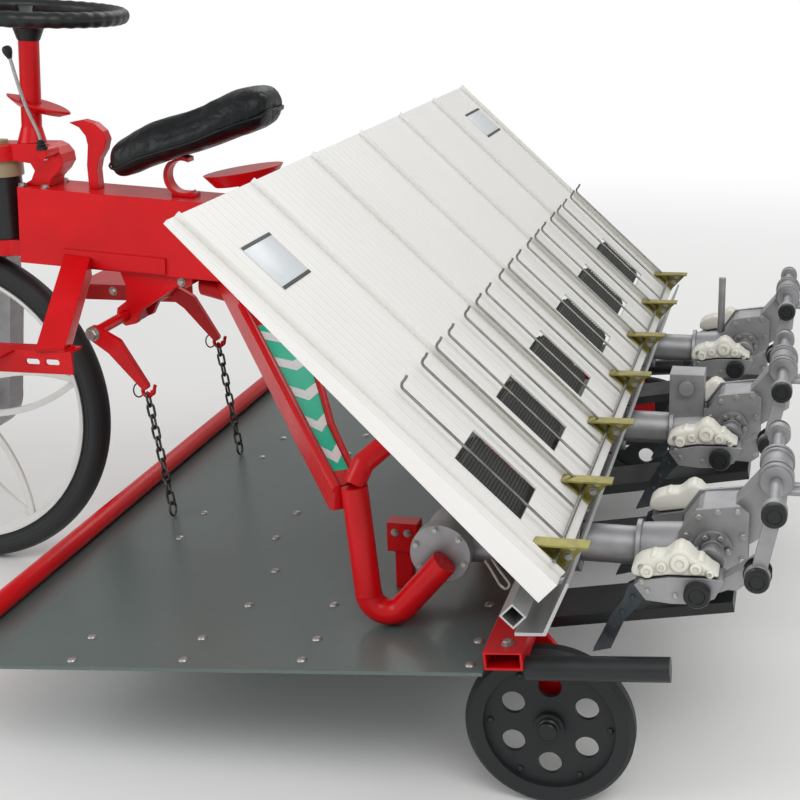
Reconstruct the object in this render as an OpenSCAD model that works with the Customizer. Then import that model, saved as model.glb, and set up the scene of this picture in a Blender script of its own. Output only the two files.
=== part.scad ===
// Six-row rice transplanter with a rider's seat and one driven, steered front wheel.
// Millimetres. Every place is given from the front axle: x forward, y to the left, z up from the floor.

/* [Reach] */
// Front of the bumper, ahead of the front axle
front_reach = 540; // [520:10:600]
// Rear end of the rocker studs, behind the front axle
rear_reach = 1870; // [1860:5:1900]

/* [Front wheel] */
// Outer diameter of the front tyre
wheel_d = 730; // [720:2:734]
// Width of the front tyre
wheel_w = 60; // [50:2:66]
// Height of the tyre's section
tyre_h = 52; // [44:2:58]
// Number of spoke pairs, each joined at the rim
spoke_pairs = 5; // [4:1:6]
// Width of one curved spoke
spoke_w = 14; // [10:1:16]
// Radius of the front axle
axle_r = 18; // [14:1:20]

/* [Steering] */
// Distance of the steering pin behind the front axle
pin_back = 173; // [170:1:180]
// Radius of the steering pin
pin_r = 20; // [16:1:22]
// Running clearance of pins and axles
run_gap = 0.05; // [0.03:0.01:0.09]
// Radius of the steering wheel, to the middle of its rim
hand_wheel_r = 186; // [170:2:200]
// Radius of the steering wheel's grip
grip_r = 16; // [12:1:18]
// Backward lean of the steering column, degrees
column_lean = 4.3; // [3:0.1:6]
// Radius of the steering column
column_r = 21; // [18:1:24]
// Height of the steering column above its foot
column_l = 206; // [196:2:220]

/* [Beam] */
// Width of the main beam
beam_w = 120; // [110:2:130]
// Height of the main beam
beam_h = 158; // [150:1:160]
// Wall of the main beam
beam_wall = 6; // [4:1:8]
// Length of the main beam
beam_l = 540; // [520:5:560]
// Slope of the main beam down to the rear, degrees
beam_tilt = 3.7; // [3:0.1:4.5]
// Height of the beam's lower front edge
beam_z = 703; // [702:1:706]

/* [Saddle] */
// Width of the saddle
saddle_w = 170; // [150:5:190]
// Thickness of the flat steel supports
strap_t = 8; // [6:1:10]

/* [Footrests] */
// Distance of the footrest angle from the middle
foot_y = 300; // [290:5:320]
// Height of the footrest angle's upper face
foot_z = 584; // [575:1:590]
// Sheet thickness of the footrest angle
foot_t = 5; // [4:1:6]
// Half width of the slots in the footrest angle
slot_r = 6; // [5:0.5:7]
// Length of the slots, end to end
slot_l = 30; // [26:1:34]

/* [Lift linkage] */
// Distance of the lift levers from the middle
lever_y = 190; // [180:2:200]
// Length of one chain link, outside
link_l = 34; // [30:1:36]
// Wire radius of the chain
link_wire = 2.6; // [2.2:0.1:3]
// Number of links in each chain
link_count = 10; // [7:1:10]

/* [Seedling table] */
// Width of the seedling table beyond the outermost brackets
table_margin = 30; // [26:1:34]
// Length of the table down its slope
table_l = 740; // [730:2:744]
// Slope of the table, degrees
table_tilt = 42.8; // [42:0.1:43.5]
// Height of the table's lower edge
table_foot_z = 464.2; // [460:0.2:470]
// Distance of the table's lower edge behind the front axle
table_foot_x = 1500; // [1495:1:1505]
// Thickness of the table's sheet
sheet_t = 4; // [3:0.5:5]
// Distance between two rows of seedlings
row_pitch = 300; // [296:1:302]
// Length of a belt window down the slope
window_l = 131; // [120:1:136]
// Width of a belt window
window_w = 132; // [120:1:140]
// Shift of the belt windows to the left of each row's middle
window_shift = 34; // [20:1:40]
// Wire radius of the press rods
rod_r = 2.5; // [2:0.25:3]

/* [Boat] */
// Half width of the boat plate
boat_hw = 850; // [840:2:860]
// Thickness of the boat plate
boat_t = 6; // [5:1:8]
// Rise of the boat to the rear, degrees
boat_tilt = 4.74; // [4.5:0.02:5]
// Radius of the red tube along the boat's front edge
front_tube_r = 19; // [16:1:22]

/* [Rear frame] */
// Radius of the bent hoop tube
hoop_r = 22; // [20:1:24]
// Distance of the hoop tubes from the middle
hoop_y = 686; // [684:1:687]
// Radius of the cross tube that drives the planting cases
cross_r = 38; // [34:1:40]
// Radius of the tube of a planting case
case_r = 31; // [28:1:34]
// Height of a planting case's axis
case_z = 392; // [388:1:396]

/* [Transport wheels] */
// Diameter of a transport wheel
small_d = 272; // [262:2:274]
// Width of a transport wheel
small_w = 36; // [32:2:44]
// Distance of a transport wheel from the middle
small_y = 741; // [738:1:744]
// Radius of a transport wheel's axle
small_axle_r = 10; // [8:1:12]

/* [Hidden] */
$fn = 48;

seat_gap = 0.3;
red = "#d8141c";
origin_x = (rear_reach - front_reach) / 2;
wheel_r = wheel_d / 2;
rim_r = wheel_r - tyre_h;
pin_x = -pin_back;
beam_x = -228;
lug_z = 712;
lug_t = 33;
neck_top = 876;
base_z = 910;
base_t = 31;

// A round bar between two points
module rod(a, b, r) {
    d = b - a;
    l = norm(d);
    translate(a)
        rotate([0, acos(d[2] / l), atan2(d[1], d[0])])
            cylinder(h = l, r = r);
}

// A square bar between two points: w across, t deep
module bar(a, b, w, t) {
    d = b - a;
    l = norm(d);
    translate(a)
        rotate([0, acos(d[2] / l), atan2(d[1], d[0])])
            translate([-t / 2, -w / 2, 0])
                cube([t, w, l]);
}

// A tube along a list of points, with a weld ball at each inner bend
module tube_path(points, r) {
    for (i = [0 : len(points) - 2])
        rod(points[i], points[i + 1], r);
    for (i = [1 : len(points) - 2])
        translate(points[i]) sphere(r = r + 0.4);
}

// A plate drawn in x and z, from y0 to y1
module side_plate(y0, y1) {
    translate([0, y1, 0])
        rotate([90, 0, 0])
            linear_extrude(y1 - y0)
                children();
}

// A round solid across the machine, centred on y
module across(x, y, z, r, w) {
    translate([x, y + w / 2, z])
        rotate([90, 0, 0])
            cylinder(h = w, r = r);
}

// A flat link in x and z from a to b, with round ends of radius ra and rb
module link_shape(a, b, ra, rb) {
    d = b - a;
    heading = atan2(d[1], d[0]);
    lean = acos((ra - rb) / norm(d));
    translate(a) circle(r = ra);
    translate(b) circle(r = rb);
    polygon([
        for (e = [[a, ra, lean], [b, rb, lean], [b, rb, -lean], [a, ra, -lean]])
            e[0] + (e[1] - 0.1) * [cos(heading + e[2]), sin(heading + e[2])]
    ]);
}

module both_sides() {
    children();
    mirror([0, 1, 0]) children();
}

// Frames that lean with the beam, the table and the boat
module on_beam() {
    translate([beam_x, 0, beam_z]) rotate([0, -beam_tilt, 0]) children();
}

table_hw = 3 * row_pitch + table_margin;
table_x = table_foot_x - table_l * cos(table_tilt);
table_z = table_foot_z + table_l * sin(table_tilt);
module on_table() {
    translate([-table_x, 0, table_z]) rotate([0, -table_tilt, 0]) children();
}

boat_x = -1170;
boat_z = 257;
module on_boat() {
    translate([boat_x, 0, boat_z]) rotate([0, boat_tilt, 0]) children();
}

function beam_top(x) = beam_z + beam_h / cos(beam_tilt) - (beam_x - x) * tan(beam_tilt);

pad_far = 326;
pad_l = 226;
pad_t = 5;
// Main beam with the lower bearing of the steering pin
module main_beam() {
    color(red)
    difference() {
        union() {
            on_beam() translate([-beam_l, -beam_w / 2, 0]) cube([beam_l, beam_w, beam_h]);
            translate([pin_x, 0, lug_z]) cylinder(h = lug_t, r = 45);
            translate([beam_x - 20, -40, lug_z]) cube([pin_x - beam_x + 20, 80, lug_t]);
            // Pads on which the footrest struts are welded
            on_beam()
                translate([-pad_far, -beam_w / 2 - pad_t, 4])
                    cube([pad_l, beam_w + 2 * pad_t, 34]);
        }
        on_beam()
            translate([-beam_l - 1, -beam_w / 2 + beam_wall, beam_wall])
                cube([beam_l - 20, beam_w - 2 * beam_wall, beam_h - 2 * beam_wall]);
        translate([pin_x, 0, lug_z - 5]) cylinder(h = lug_t + 10, r = pin_r + run_gap);
    }
}

// Cast base over the front of the beam, with the upper bearing of the steering pin
module steering_base() {
    base_w = 60;
    profile = [
        [pin_x, base_z], [pin_x, base_z + base_t], [-208, base_z + base_t],
        [-214, base_z + base_t + 4], [-303, base_z + base_t + 4], [-318, base_z + 28],
        [-329, base_z + 14], [-331, base_z - 4], [-319, base_z - 21], [-301, base_z - 37],
        [-294, beam_z + 140], [-232, beam_z + 140], [-234, base_z - 50], [-256, base_z - 39],
        [-266, base_z - 20], [-258, base_z - 5], [-224, base_z]
    ];
    color(red)
    difference() {
        union() {
            side_plate(-base_w / 2, base_w / 2) polygon(profile);
            translate([pin_x, 0, base_z]) cylinder(h = base_t, r = 55);
            across(-313, 55, base_z + 22, 12, 56);
        }
        translate([pin_x, 0, base_z - 5]) cylinder(h = base_t + 10, r = pin_r + run_gap);
        on_beam() translate([-beam_l, -beam_w, 0]) cube([beam_l + 60, 2 * beam_w, beam_h + seat_gap]);
    }
}

column_x = -251;
column_z = base_z + base_t + 4.3;
module on_column() {
    translate([column_x, 0, column_z]) rotate([0, -column_lean, 0]) children();
}

module steering_column() {
    color(red)
    difference() {
        on_column() {
            translate([0, 0, -10]) cylinder(h = column_l + 10, r = column_r);
            translate([0, 0, -10]) cylinder(h = 42, r1 = column_r + 12, r2 = column_r);
        }
        translate([column_x - 100, -100, 0]) cube([200, 200, column_z]);
    }
}

// Leaf-shaped dished plate round the column
module column_plate() {
    plate_l = 146;
    plate_w = 76;
    arc_r = (plate_l * plate_l / 4 + plate_w * plate_w / 4) / plate_w;
    color(red)
    difference() {
        translate([-273, 0, 1021])
            rotate([0, -15.6, 0])
                hull() {
                    linear_extrude(4)
                        intersection() {
                            translate([0, arc_r - plate_w / 2]) circle(r = arc_r);
                            translate([0, plate_w / 2 - arc_r]) circle(r = arc_r);
                        }
                    translate([0, 0, -12])
                        linear_extrude(4)
                            intersection() {
                                translate([0, arc_r - plate_w / 2]) circle(r = arc_r - 18);
                                translate([0, plate_w / 2 - arc_r]) circle(r = arc_r - 18);
                            }
                }
        on_column() cylinder(h = column_l, r = column_r + seat_gap);
    }
}

module gear_lever() {
    foot = [-313, 76, base_z + 34.3];
    tip = [-276, 98, 1122];
    color("#8a8a80") rod(foot, tip, 4);
    color("#161616") rod(tip, tip + [2.5, 1.4, 24], 10);
}

// Curved horn in front of the saddle, and the C-shaped strap under it
strap_x = -585;
strap_z = 879;
strap_r = 41;
strap_w = 32;
horn_w = 26;
module saddle_brackets() {
    color(red)
    difference() {
        union() {
            side_plate(-horn_w / 2, horn_w / 2)
                translate([0, beam_top(-390)])
                    polygon([
                        [-376, -10], [-398, -10], [-397, 39], [-403, 60], [-417, 80], [-424, 101],
                        [-418, 118], [-400, 134], [-374, 141], [-345, 136], [-366, 126], [-379, 109],
                        [-382, 90], [-376, 49]
                    ]);
            side_plate(-strap_w / 2, strap_w / 2)
                intersection() {
                    difference() {
                        translate([strap_x, strap_z]) circle(r = strap_r);
                        translate([strap_x, strap_z]) circle(r = strap_r - strap_t);
                    }
                    translate([strap_x - 15, 800]) square([80, 200]);
                }
            side_plate(-strap_w / 2, strap_w / 2)
                translate([strap_x - 24, strap_z - strap_r - 4]) square([50, 12]);
        }
        on_beam() translate([-beam_l, -beam_w, 0]) cube([beam_l + 60, 2 * beam_w, beam_h + seat_gap]);
        side_plate(-50, 50) translate([0, -seat_gap]) polygon(saddle_side);
    }
}

saddle_side = [
    [-466, 877], [-450, 893], [-440, 916], [-441, 938], [-460, 957], [-505, 976], [-599, 1002],
    [-674, 1034], [-729, 1058], [-765, 1064], [-786, 1050], [-792, 1012], [-774, 982],
    [-702, 958], [-629, 930], [-574, 916], [-520, 895], [-485, 877]
];
module saddle() {
    color("#15181a") side_plate(-saddle_w / 2, saddle_w / 2) polygon(saddle_side);
}

// Dished red step behind the saddle
step_at = -715;
step_rise = 38;
module step_plate() {
    color(red)
    difference() {
        union() {
            translate([step_at, 0, beam_top(step_at) + step_rise])
                rotate([0, 8, 0])
                    cylinder(h = 26, r1 = 62, r2 = 82);
            translate([step_at, 0, beam_top(step_at) - 20]) cylinder(h = step_rise + 24, r = 14);
        }
        on_beam() translate([-beam_l, -beam_w, 0]) cube([beam_l + 60, 2 * beam_w, beam_h + seat_gap]);
    }
}

// Strut and slotted angle that carry one foot
foot_slots = [-410, -368];
module footrest() {
    strut_top = [-357, 62, 704];
    strut_foot = [-410, foot_y - 12, foot_z - 2];
    angle_rear = -452;
    angle_front = -180;
    difference() {
        union() {
            color(red)
            difference() {
                bar(strut_top - [0, 20, -11], strut_foot + [0, 12, -6.5], 56, 34);
                translate([-700, -200, foot_z - 60]) cube([700, 600, 60]);
            }
            color(red)
            difference() {
                union() {
                    translate([angle_rear, foot_y - 45, foot_z - foot_t])
                        cube([angle_front - angle_rear, 45, foot_t]);
                    translate([angle_rear, foot_y - foot_t, foot_z - 46])
                        cube([angle_front - angle_rear, foot_t, 46]);
                    translate([angle_front - 150, foot_y - 45, foot_z - foot_t])
                        cube([150, 160, foot_t]);
                }
                for (x = foot_slots)
                    translate([x, foot_y + 10, foot_z - 23])
                        rotate([90, 0, 0]) slot(slot_l, slot_r, 40);
            }
        }
        on_beam() translate([-beam_l - 50, -beam_w, -60])
            cube([beam_l + 100, beam_w * 1.5 + pad_t + seat_gap, beam_h + 120]);
    }
}

// A slot of length l along x, cut through h
module slot(l, r, h) {
    for (s = [-1, 1]) translate([s * (l / 2 - r), 0, 0]) cylinder(h = h, r = r);
    translate([-(l / 2 - r), -r, 0]) cube([l - 2 * r, 2 * r, h]);
}

module footrests() { both_sides() footrest(); }

lift_x = -448;
lift_z = 593;
lift_r = 11;
module lift_bracket() {
    color("#a3161b")
    difference() {
        side_plate(-48, 48)
            polygon([
                [-436, 712], [-604, 712], [-604, 664], [-566, 656], [-488, 606], [-472, 577],
                [-448, 571], [-427, 584], [-432, 609], [-453, 624], [-456, 656]
            ]);
        on_beam() translate([-beam_l, -beam_w, -seat_gap]) cube([beam_l + 60, 2 * beam_w, beam_h]);
        across(lift_x, 0, lift_z, lift_r + seat_gap, 200);
        translate([-590, -30, 500]) cube([123, 60, 156]);
    }
}

lever_t = 14;
tip_x = -548;
tip_z = 478;
module lift_levers() {
    color(red) {
        across(lift_x, 0, lift_z, lift_r, 2 * lever_y);
        both_sides() {
            side_plate(lever_y - lever_t / 2, lever_y + lever_t / 2) {
                link_shape([lift_x, lift_z], [-490, 567], 15, 18);
                link_shape([-490, 567], [tip_x, tip_z + 10], 18, 8);
            }
            // Open hook at the end of the lever
            translate([tip_x - 4, lever_y, tip_z - 2])
                rotate([90, 0, 0])
                    rotate([0, 0, 160])
                        rotate_extrude(angle = 240)
                            translate([10, 0]) circle(r = 4);
        }
    }
}

// One long link hanging in the x-z plane, as a flat ring with round ends
module link_outline(w, l) {
    translate([-w / 2, -(l - w) / 2]) square([w, l - w]);
    for (s = [-1, 1]) translate([0, s * (l - w) / 2]) circle(d = w, $fn = 12);
}
module link() {
    side_plate(-link_wire, link_wire)
        difference() {
            link_outline(link_w, link_l);
            link_outline(link_w - 4 * link_wire, link_l - 4 * link_wire);
        }
}
link_w = 19;
link_step = link_l - 4 * link_wire - 0.2;
ring_r = 13;
chain_lean = 8;
module lift_chains() {
    hook_low = tip_z - 12;
    top = hook_low - 4 - link_l / 2 + 2 * 4 + link_wire * 2 + 0.4;
    color("#3a3c3a")
    both_sides()
        translate([tip_x - 4, lever_y, hook_low])
            rotate([0, chain_lean, 0])
                translate([0, 0, top - hook_low]) {
            for (i = [0 : link_count - 1])
                translate([0, 0, -i * link_step]) rotate([0, 0, i % 2 == 0 ? 90 : 0]) link();
            translate([0, 0, -link_count * link_step + link_l / 2 - ring_r - link_wire])
                rotate([90, 0, link_count % 2 == 0 ? 90 : 0])
                    rotate_extrude() translate([ring_r, 0]) circle(r = link_wire, $fn = 8);
        }
}

shaft_a = [-590, 0, 655.8];
shaft_b = [-1208, 0, 507];
module drive_shaft() {
    u = (shaft_b - shaft_a) / norm(shaft_b - shaft_a);
    color("#8c1a1c")
    difference() {
        union() {
            rod(shaft_a, shaft_b, 11);
            rod(shaft_a, shaft_a + 76 * u, 20);
            rod(shaft_b - 60 * u, shaft_b, 20);
        }
        translate([-604 - seat_gap, -50, 600]) cube([60, 100, 100]);
    }
}

// Tapered arm that spreads from the beam to the hoop, with a sunk field for the warning stripes
arm_a = [-718, 40, 700];
arm_b = [-1140, 664, 498];
arm_l = norm(arm_b - arm_a);
arm_d = 60;
arm_end = arm_l + 8;
bead_r = 8;
field_sunk = 4;
front_edge = -48;
// Rear edge: distance along the arm, distance across it
rear_edge = [[-90, 80], [0, 80], [390, 35], [500, 20], [600, 5], [700, 0], [arm_end, 0]];
// The arm's own frame: x down, z along it, y to the rear
module on_arm() {
    d = arm_b - arm_a;
    translate(arm_a) rotate([0, acos(d[2] / arm_l), atan2(d[1], d[0])]) children();
}
// A flat shape in the arm's y and z, from x0 to x1
module arm_slab(x0, x1, outline) {
    translate([x0, 0, 0]) rotate([90, 0, 90]) linear_extrude(x1 - x0) polygon(outline);
}
module rear_arm() {
    color(red)
    difference() {
        on_arm() {
            intersection() {
                arm_slab(-70, arm_d, concat([[front_edge, arm_end], [front_edge, -90]],
                    [for (e = rear_edge) [e[1], e[0]]]));
                translate([0, 120, 0]) rotate([90, 0, 0])
                    linear_extrude(240)
                        polygon([
                            [arm_d, -90], [arm_d, arm_end - 24], [arm_d - 16, arm_end], [0, arm_end],
                            [0, 150], [-60, 0], [-60, -90]
                        ]);
            }
            // Round beads along both edges of the upper face
            translate([bead_r / 2, front_edge + bead_r / 2, 150])
                cylinder(h = arm_end - 150, r = bead_r);
            tube_path([for (i = [1 : len(rear_edge) - 1])
                let (e = rear_edge[i], run = max(e[0], 150))
                    [bead_r / 2, e[1] - bead_r / 2 - (i == 1 ? 17 : 0), run]], bead_r);
        }
        on_arm()
            arm_slab(-80, field_sunk, [
                [-38, 170], [-38, 742], [-8, 742], [-4, 600], [10, 500], [25, 390], [48, 170]
            ]);
        on_beam() translate([-beam_l - 200, -beam_w, -seat_gap])
            cube([beam_l + 260, beam_w * 1.5 + seat_gap, beam_h + 200]);
        translate([-900, -100, 500]) cube([700, 116, 400]);
        hoop_solid(seat_gap);
        tube_path(strut_path, strut_r + seat_gap);
    }
}
module rear_arms() { both_sides() rear_arm(); }

// Bent tube from the arm's end, down over the boat and up to the cross tube
bend_x = -1183;
bend_r = 34;
front_lean = 5;
rear_lean = 40;
hoop_top = 186;
hoop_rear = 108;
module hoop_solid(grow) {
    translate([bend_x, hoop_y, boat_top(bend_x) + hoop_r + bend_r + 1])
        rotate([90, 0, 0]) {
            rotate([0, 0, 180 + rear_lean])
                rotate_extrude(angle = 180 - front_lean - rear_lean)
                    translate([bend_r, 0]) circle(r = hoop_r + grow);
            // The front leg and the weld bead at its foot
            rotate([0, 0, -front_lean]) translate([bend_r, 0, 0])
                rotate([-90, 0, 0]) {
                    cylinder(h = hoop_top, r = hoop_r + grow);
                    translate([0, 0, -1.5]) cylinder(h = 3, r = hoop_r + grow + 0.6);
                }
            rotate([0, 0, 180 + rear_lean]) translate([bend_r, 0, 0])
                rotate([90, 0, 0]) cylinder(h = hoop_rear, r = hoop_r + grow);
        }
}
function boat_top(x) = boat_z + (boat_x - x) * tan(boat_tilt);

strut_r = 18;
strut_path = [
    [-1133, hoop_y, 500], [-1146, hoop_y - 14, 532], [-1180, hoop_y - 34, 560],
    [-1212, hoop_y - 42, 582], [-1173, hoop_y - 42, 706]
];
module hoop() {
    color(red)
    difference() {
        union() {
            hoop_solid(0);
            tube_path(strut_path, strut_r);
        }
        rail_solid(seat_gap);
        ring_solid(seat_gap);
    }
}
module hoops() { both_sides() hoop(); }

// Fixed rail on which the table's upper slides run
rail_s = table_l - 410;
rail_h = -42;
rail_r = 15;
module rail_solid(grow) {
    on_table() across(-rail_s, 0, rail_h, rail_r + grow, 2 * (hoop_y + 10));
}
module table_rail() { color("#9aa0a0") rail_solid(0); }

// Tube across the machine that carries and drives the three cases
cross_x = -1266;
cross_z = 380;
post_w = 50;
post_d = 40;
bar_y = 532;
module cross_tube() {
    color(red)
    difference() {
        union() {
            across(cross_x, 0, cross_z, cross_r, 2 * (row_pitch * 2 + 20));
            // Posts that stand on the boat
            both_sides()
                translate([cross_x - post_d / 2, row_pitch - post_w / 2, boat_top(cross_x) - 40])
                    cube([post_d, post_w, 150]);
            // Bars under the tube, each with a bolted block at its front end
            both_sides() {
                translate([cross_x - 79, bar_y - 10, cross_z - cross_r - 15]) cube([195, 20, 18]);
                translate([cross_x + 68, bar_y - 16, cross_z - cross_r - 15]) cube([54, 32, 52]);
                translate([cross_x + 80, bar_y - 10, boat_top(cross_x + 80) - 20]) cube([30, 20, 95]);
            }
        }
        across(cross_x, 0, cross_z, cross_r + 5, 170);
        for (k = [-1, 1])
            across(cross_x, k * 2 * row_pitch, cross_z, cross_r + 5, 2 * (case_r + 10 + seat_gap));
        on_boat() translate([-400, -700, -80]) cube([600, 1400, 80 + seat_gap]);
    }
}

module planting_gearbox() {
    color("#8e9294")
    difference() {
        union() {
            across(cross_x, 0, cross_z, 66, 170 - 2 * seat_gap);
            bar(shaft_b + [4, 0, 1], [cross_x, 0, cross_z], 90, 96);
        }
        rod(shaft_a, shaft_b + (shaft_b - shaft_a) * 0.0005, 30);
        case_tube(0, seat_gap);
    }
}

// Cast bearing ring at each end of the cross tube
module ring_solid(grow) {
    across(cross_x, 2 * row_pitch + case_r + 10 + seat_gap + 12 + grow / 2, cross_z, 50 + grow, 24 + grow);
}

// Stepped tube and cast housing of one planting case
case_front = -1266;
step_x = -1478;
neck_z = 368;
neck_r = 24;
housing_x = -1600;
housing_l = 176;
module case_tube(y, grow) {
    translate([housing_x, y, case_z]) rotate([0, 90, 0]) cylinder(h = step_x - housing_x, r = case_r + grow);
    translate([step_x - 10, y, neck_z])
        rotate([0, 90, 0]) cylinder(h = case_front - step_x + 10, r = neck_r + grow);
    translate([step_x - 10 - grow, y, case_z - 7])
        rotate([0, 90, 0]) cylinder(h = 10 + 2 * grow, r = case_r + 11 + grow);
}
pivot_x = -1789;
pivot_z = 533;
crank_x = -1698;
crank_z = 418;
cover_r = 30;
stud_z = pivot_z - 29;
module planting_case(k) {
    y = k * 2 * row_pitch;
    difference() {
        union() {
            case_tube(y, 0);
            if (k != 0) across(cross_x, y, cross_z, cross_r + 5, 2 * case_r + 20);
            // Round front part of the housing, and the ring where the tube is bolted on
            translate([housing_x - 60, y, case_z])
                rotate([0, 90, 0]) cylinder(h = 82, r1 = 44, r2 = 38);
            translate([housing_x + 16, y, case_z])
                rotate([0, 90, 0]) cylinder(h = 8, r = 43);
            // Deep rear part
            side_plate(y - 40, y + 40)
                polygon([
                    [housing_x - 48, case_z - 40], [housing_x - 48, case_z + 44],
                    [housing_x - 72, case_z + 80], [housing_x - 80, case_z + 85],
                    [housing_x - 134, case_z + 91], [housing_x - 147, case_z + 82],
                    [housing_x - 147, case_z - 32], [housing_x - 134, case_z - 42]
                ]);
            // Flanges of its two side covers
            for (s = [-1, 1])
                side_plate(y + s * 43 - 3, y + s * 43 + 3)
                    polygon([
                        [housing_x - 44, case_z - 44], [housing_x - 44, case_z + 46],
                        [housing_x - 70, case_z + 85], [housing_x - 136, case_z + 95],
                        [housing_x - 151, case_z + 84], [housing_x - 151, case_z - 34],
                        [housing_x - 136, case_z - 46]
                    ]);
            // Neck and cross bearing of the rockers
            side_plate(y - 24, y + 24)
                polygon([
                    [housing_x - 125, case_z + 85], [pivot_x + 20, pivot_z], [pivot_x - 20, pivot_z],
                    [pivot_x - 14, case_z + 60], [housing_x - 146, case_z + 20]
                ]);
            across(pivot_x, y, pivot_z, 24, 110);
            for (s = [-1, 1]) {
                across(pivot_x, y + s * 44, pivot_z, 27, 10);
                across(pivot_x, y + s * 28, pivot_z, 27, 6);
            }
            // Bearing covers of the crank shaft, each with a ring of bolts
            across(crank_x, y, crank_z, cover_r, 116);
            across(crank_x, y, crank_z, 18, 130);
            for (s = [-1, 1])
                for (a = [0 : 60 : 300])
                    across(crank_x + 24 * cos(a), y + s * 58, crank_z + 24 * sin(a), 3.5, 8);
            for (dy = [-14, 14])
                translate([-rear_reach, y + dy, stud_z])
                    rotate([0, 90, 0]) cylinder(h = rear_reach + pivot_x - 8, r = 6);
        }
        if (k == 0) across(cross_x, 0, cross_z, 66 + seat_gap, 200);
    }
}
far_rod = [housing_x - 40, -2 * row_pitch];
module planting_cases() {
    color("#9a9ea0") {
        for (k = [-1 : 1]) planting_case(k);
        both_sides() ring_solid(0);
        // Box that drives the table's feed screw, on the middle case
        translate([housing_x - 41, -35, case_z + 20]) cube([66, 60, 98]);
        across(housing_x - 8, 0, case_z + 92, 15, 72);
        // Stop rod and stay on the right case
        translate([far_rod[0], far_rod[1], case_z + 20]) cylinder(h = 151, r = 8);
        translate([housing_x - 6, far_rod[1] + 30, 309.2]) cube([16, 8, 100.8]);
    }
}

// The six planting units, two on each case
unit_rows = [for (k = [-1 : 1]) for (s = [-1, 1]) [k * 2 * row_pitch, s]];
pin_mid_x = -1683;
pin_mid_z = 392;
tail_x = -1769;
tail_z = 430;
module each_unit() {
    for (u = unit_rows)
        translate([0, u[0], 0])
            if (u[1] > 0) children();
            else mirror([0, 1, 0]) children();
}

// Short crank, its pin and the pin's cap on each end of the case shafts
crank_in = 65 + seat_gap;
crank_out = 106;
arm_in = 110;
arm_out = 160;
claw_in = 137;
claw_t = 5;
claw_gap = 5;
module cranks() {
    color("#85898b")
    each_unit() {
        across(crank_x, (crank_in + crank_out) / 2, crank_z, 14, crank_out - crank_in);
        side_plate(crank_out - 14, crank_out) link_shape([crank_x, crank_z], [pin_mid_x, pin_mid_z], 20, 17);
        across(pin_mid_x, (crank_out + arm_out + 6) / 2, pin_mid_z, 9, arm_out - crank_out + 18);
        across(pin_mid_x, arm_out + 6 + seat_gap / 2, pin_mid_z, 19, 12 - seat_gap);
    }
}

// Cast arm of a planting unit
module planting_arms() {
    color("#85898b")
    each_unit()
        difference() {
            union() {
                side_plate(arm_in, arm_out)
                    polygon([
                        [-1722, 411], [-1700, 414], [-1640, 412], [-1600, 404], [-1588, 396],
                        [-1606, 372], [-1645, 369], [-1683, 371], [-1708, 382]
                    ]);
                across(pin_mid_x, (arm_in + arm_out) / 2, pin_mid_z, 21, arm_out - arm_in);
                // Slim tail
                side_plate(arm_in + 14, arm_out - 6) {
                    translate([tail_x, tail_z]) circle(r = 15);
                    polygon([
                        [tail_x + 10, tail_z + 10], [-1718, 411], [-1700, 384], [tail_x - 4, tail_z - 14]
                    ]);
                }
            }
            across(pin_mid_x, (arm_in + arm_out) / 2, pin_mid_z, 9 + run_gap, arm_out - arm_in + 20);
            across(tail_x, (arm_in + arm_out) / 2, tail_z, 8 + run_gap, arm_out - arm_in + 20);
        }
}

// Forked steel claws that take the seedlings
module planting_claws() {
    color("#3f4446")
    each_unit()
        for (y = [claw_in, claw_in + claw_t + claw_gap])
            side_plate(y, y + claw_t)
                polygon([
                    [-1588, 395.6], [-1605.6, 372], [-1594, 358], [-1573, 330], [-1554, 283], [-1526, 275],
                    [-1538, 301], [-1556, 343], [-1573, 370], [-1578, 390]
                ]);
}

// Cream plastic covers over the pushers
module arm_covers() {
    color("#dcd8c4")
    each_unit()
        side_plate(arm_in + 2, arm_out - 2)
            polygon([
                [-1600, 404.6], [-1640, 412.4], [-1700, 414.4], [-1714, 413], [-1713, 421], [-1694, 433],
                [-1677, 442], [-1666, 454], [-1653, 458], [-1641, 451], [-1630, 441], [-1612, 439],
                [-1592, 432], [-1582, 420], [-1582, 410]
            ]);
}

// Rockers from the pivot shafts down to the tails of the arms
rocker_in = arm_out + 8;
rocker_out = arm_out + 24;
module rockers() {
    pivot_in = 55 + seat_gap;
    color("#85898b")
    each_unit() {
        side_plate(rocker_in + 2, rocker_out - 2) link_shape([pivot_x, pivot_z], [tail_x, tail_z], 12, 11);
        across(pivot_x, (rocker_in + rocker_out) / 2, pivot_z, 19, rocker_out - rocker_in);
        across(tail_x, (rocker_in + rocker_out) / 2, tail_z, 19, rocker_out - rocker_in);
        across(pivot_x, (pivot_in + rocker_out) / 2, pivot_z, 9, rocker_out - pivot_in);
        across(tail_x, (arm_in + rocker_out) / 2, tail_z, 8, rocker_out - arm_in);
        across(pivot_x, rocker_out + 5, pivot_z, 17, 12);
        across(tail_x, rocker_out + 5, tail_z, 17, 12);
    }
}

// Light rail with a gate for each claw
module gate_rail() {
    color("#c9cbc6")
    difference() {
        on_table()
            side_plate(-table_hw, table_hw)
                polygon([
                    [-table_l - 6, 12], [-table_l - 11, 12], [-table_l - 42, -70], [-table_l - 12, -103],
                    [-table_l - 8, -99.5], [-table_l - 36, -69.5]
                ]);
        for (u = unit_rows)
            on_table()
                translate([-table_l - 60, u[0] + u[1] * row_pitch / 2 - 13, -78]) cube([57, 26, 70]);
        for (k = [-1 : 1]) case_tube(k * 2 * row_pitch, seat_gap);
    }
}

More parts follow.
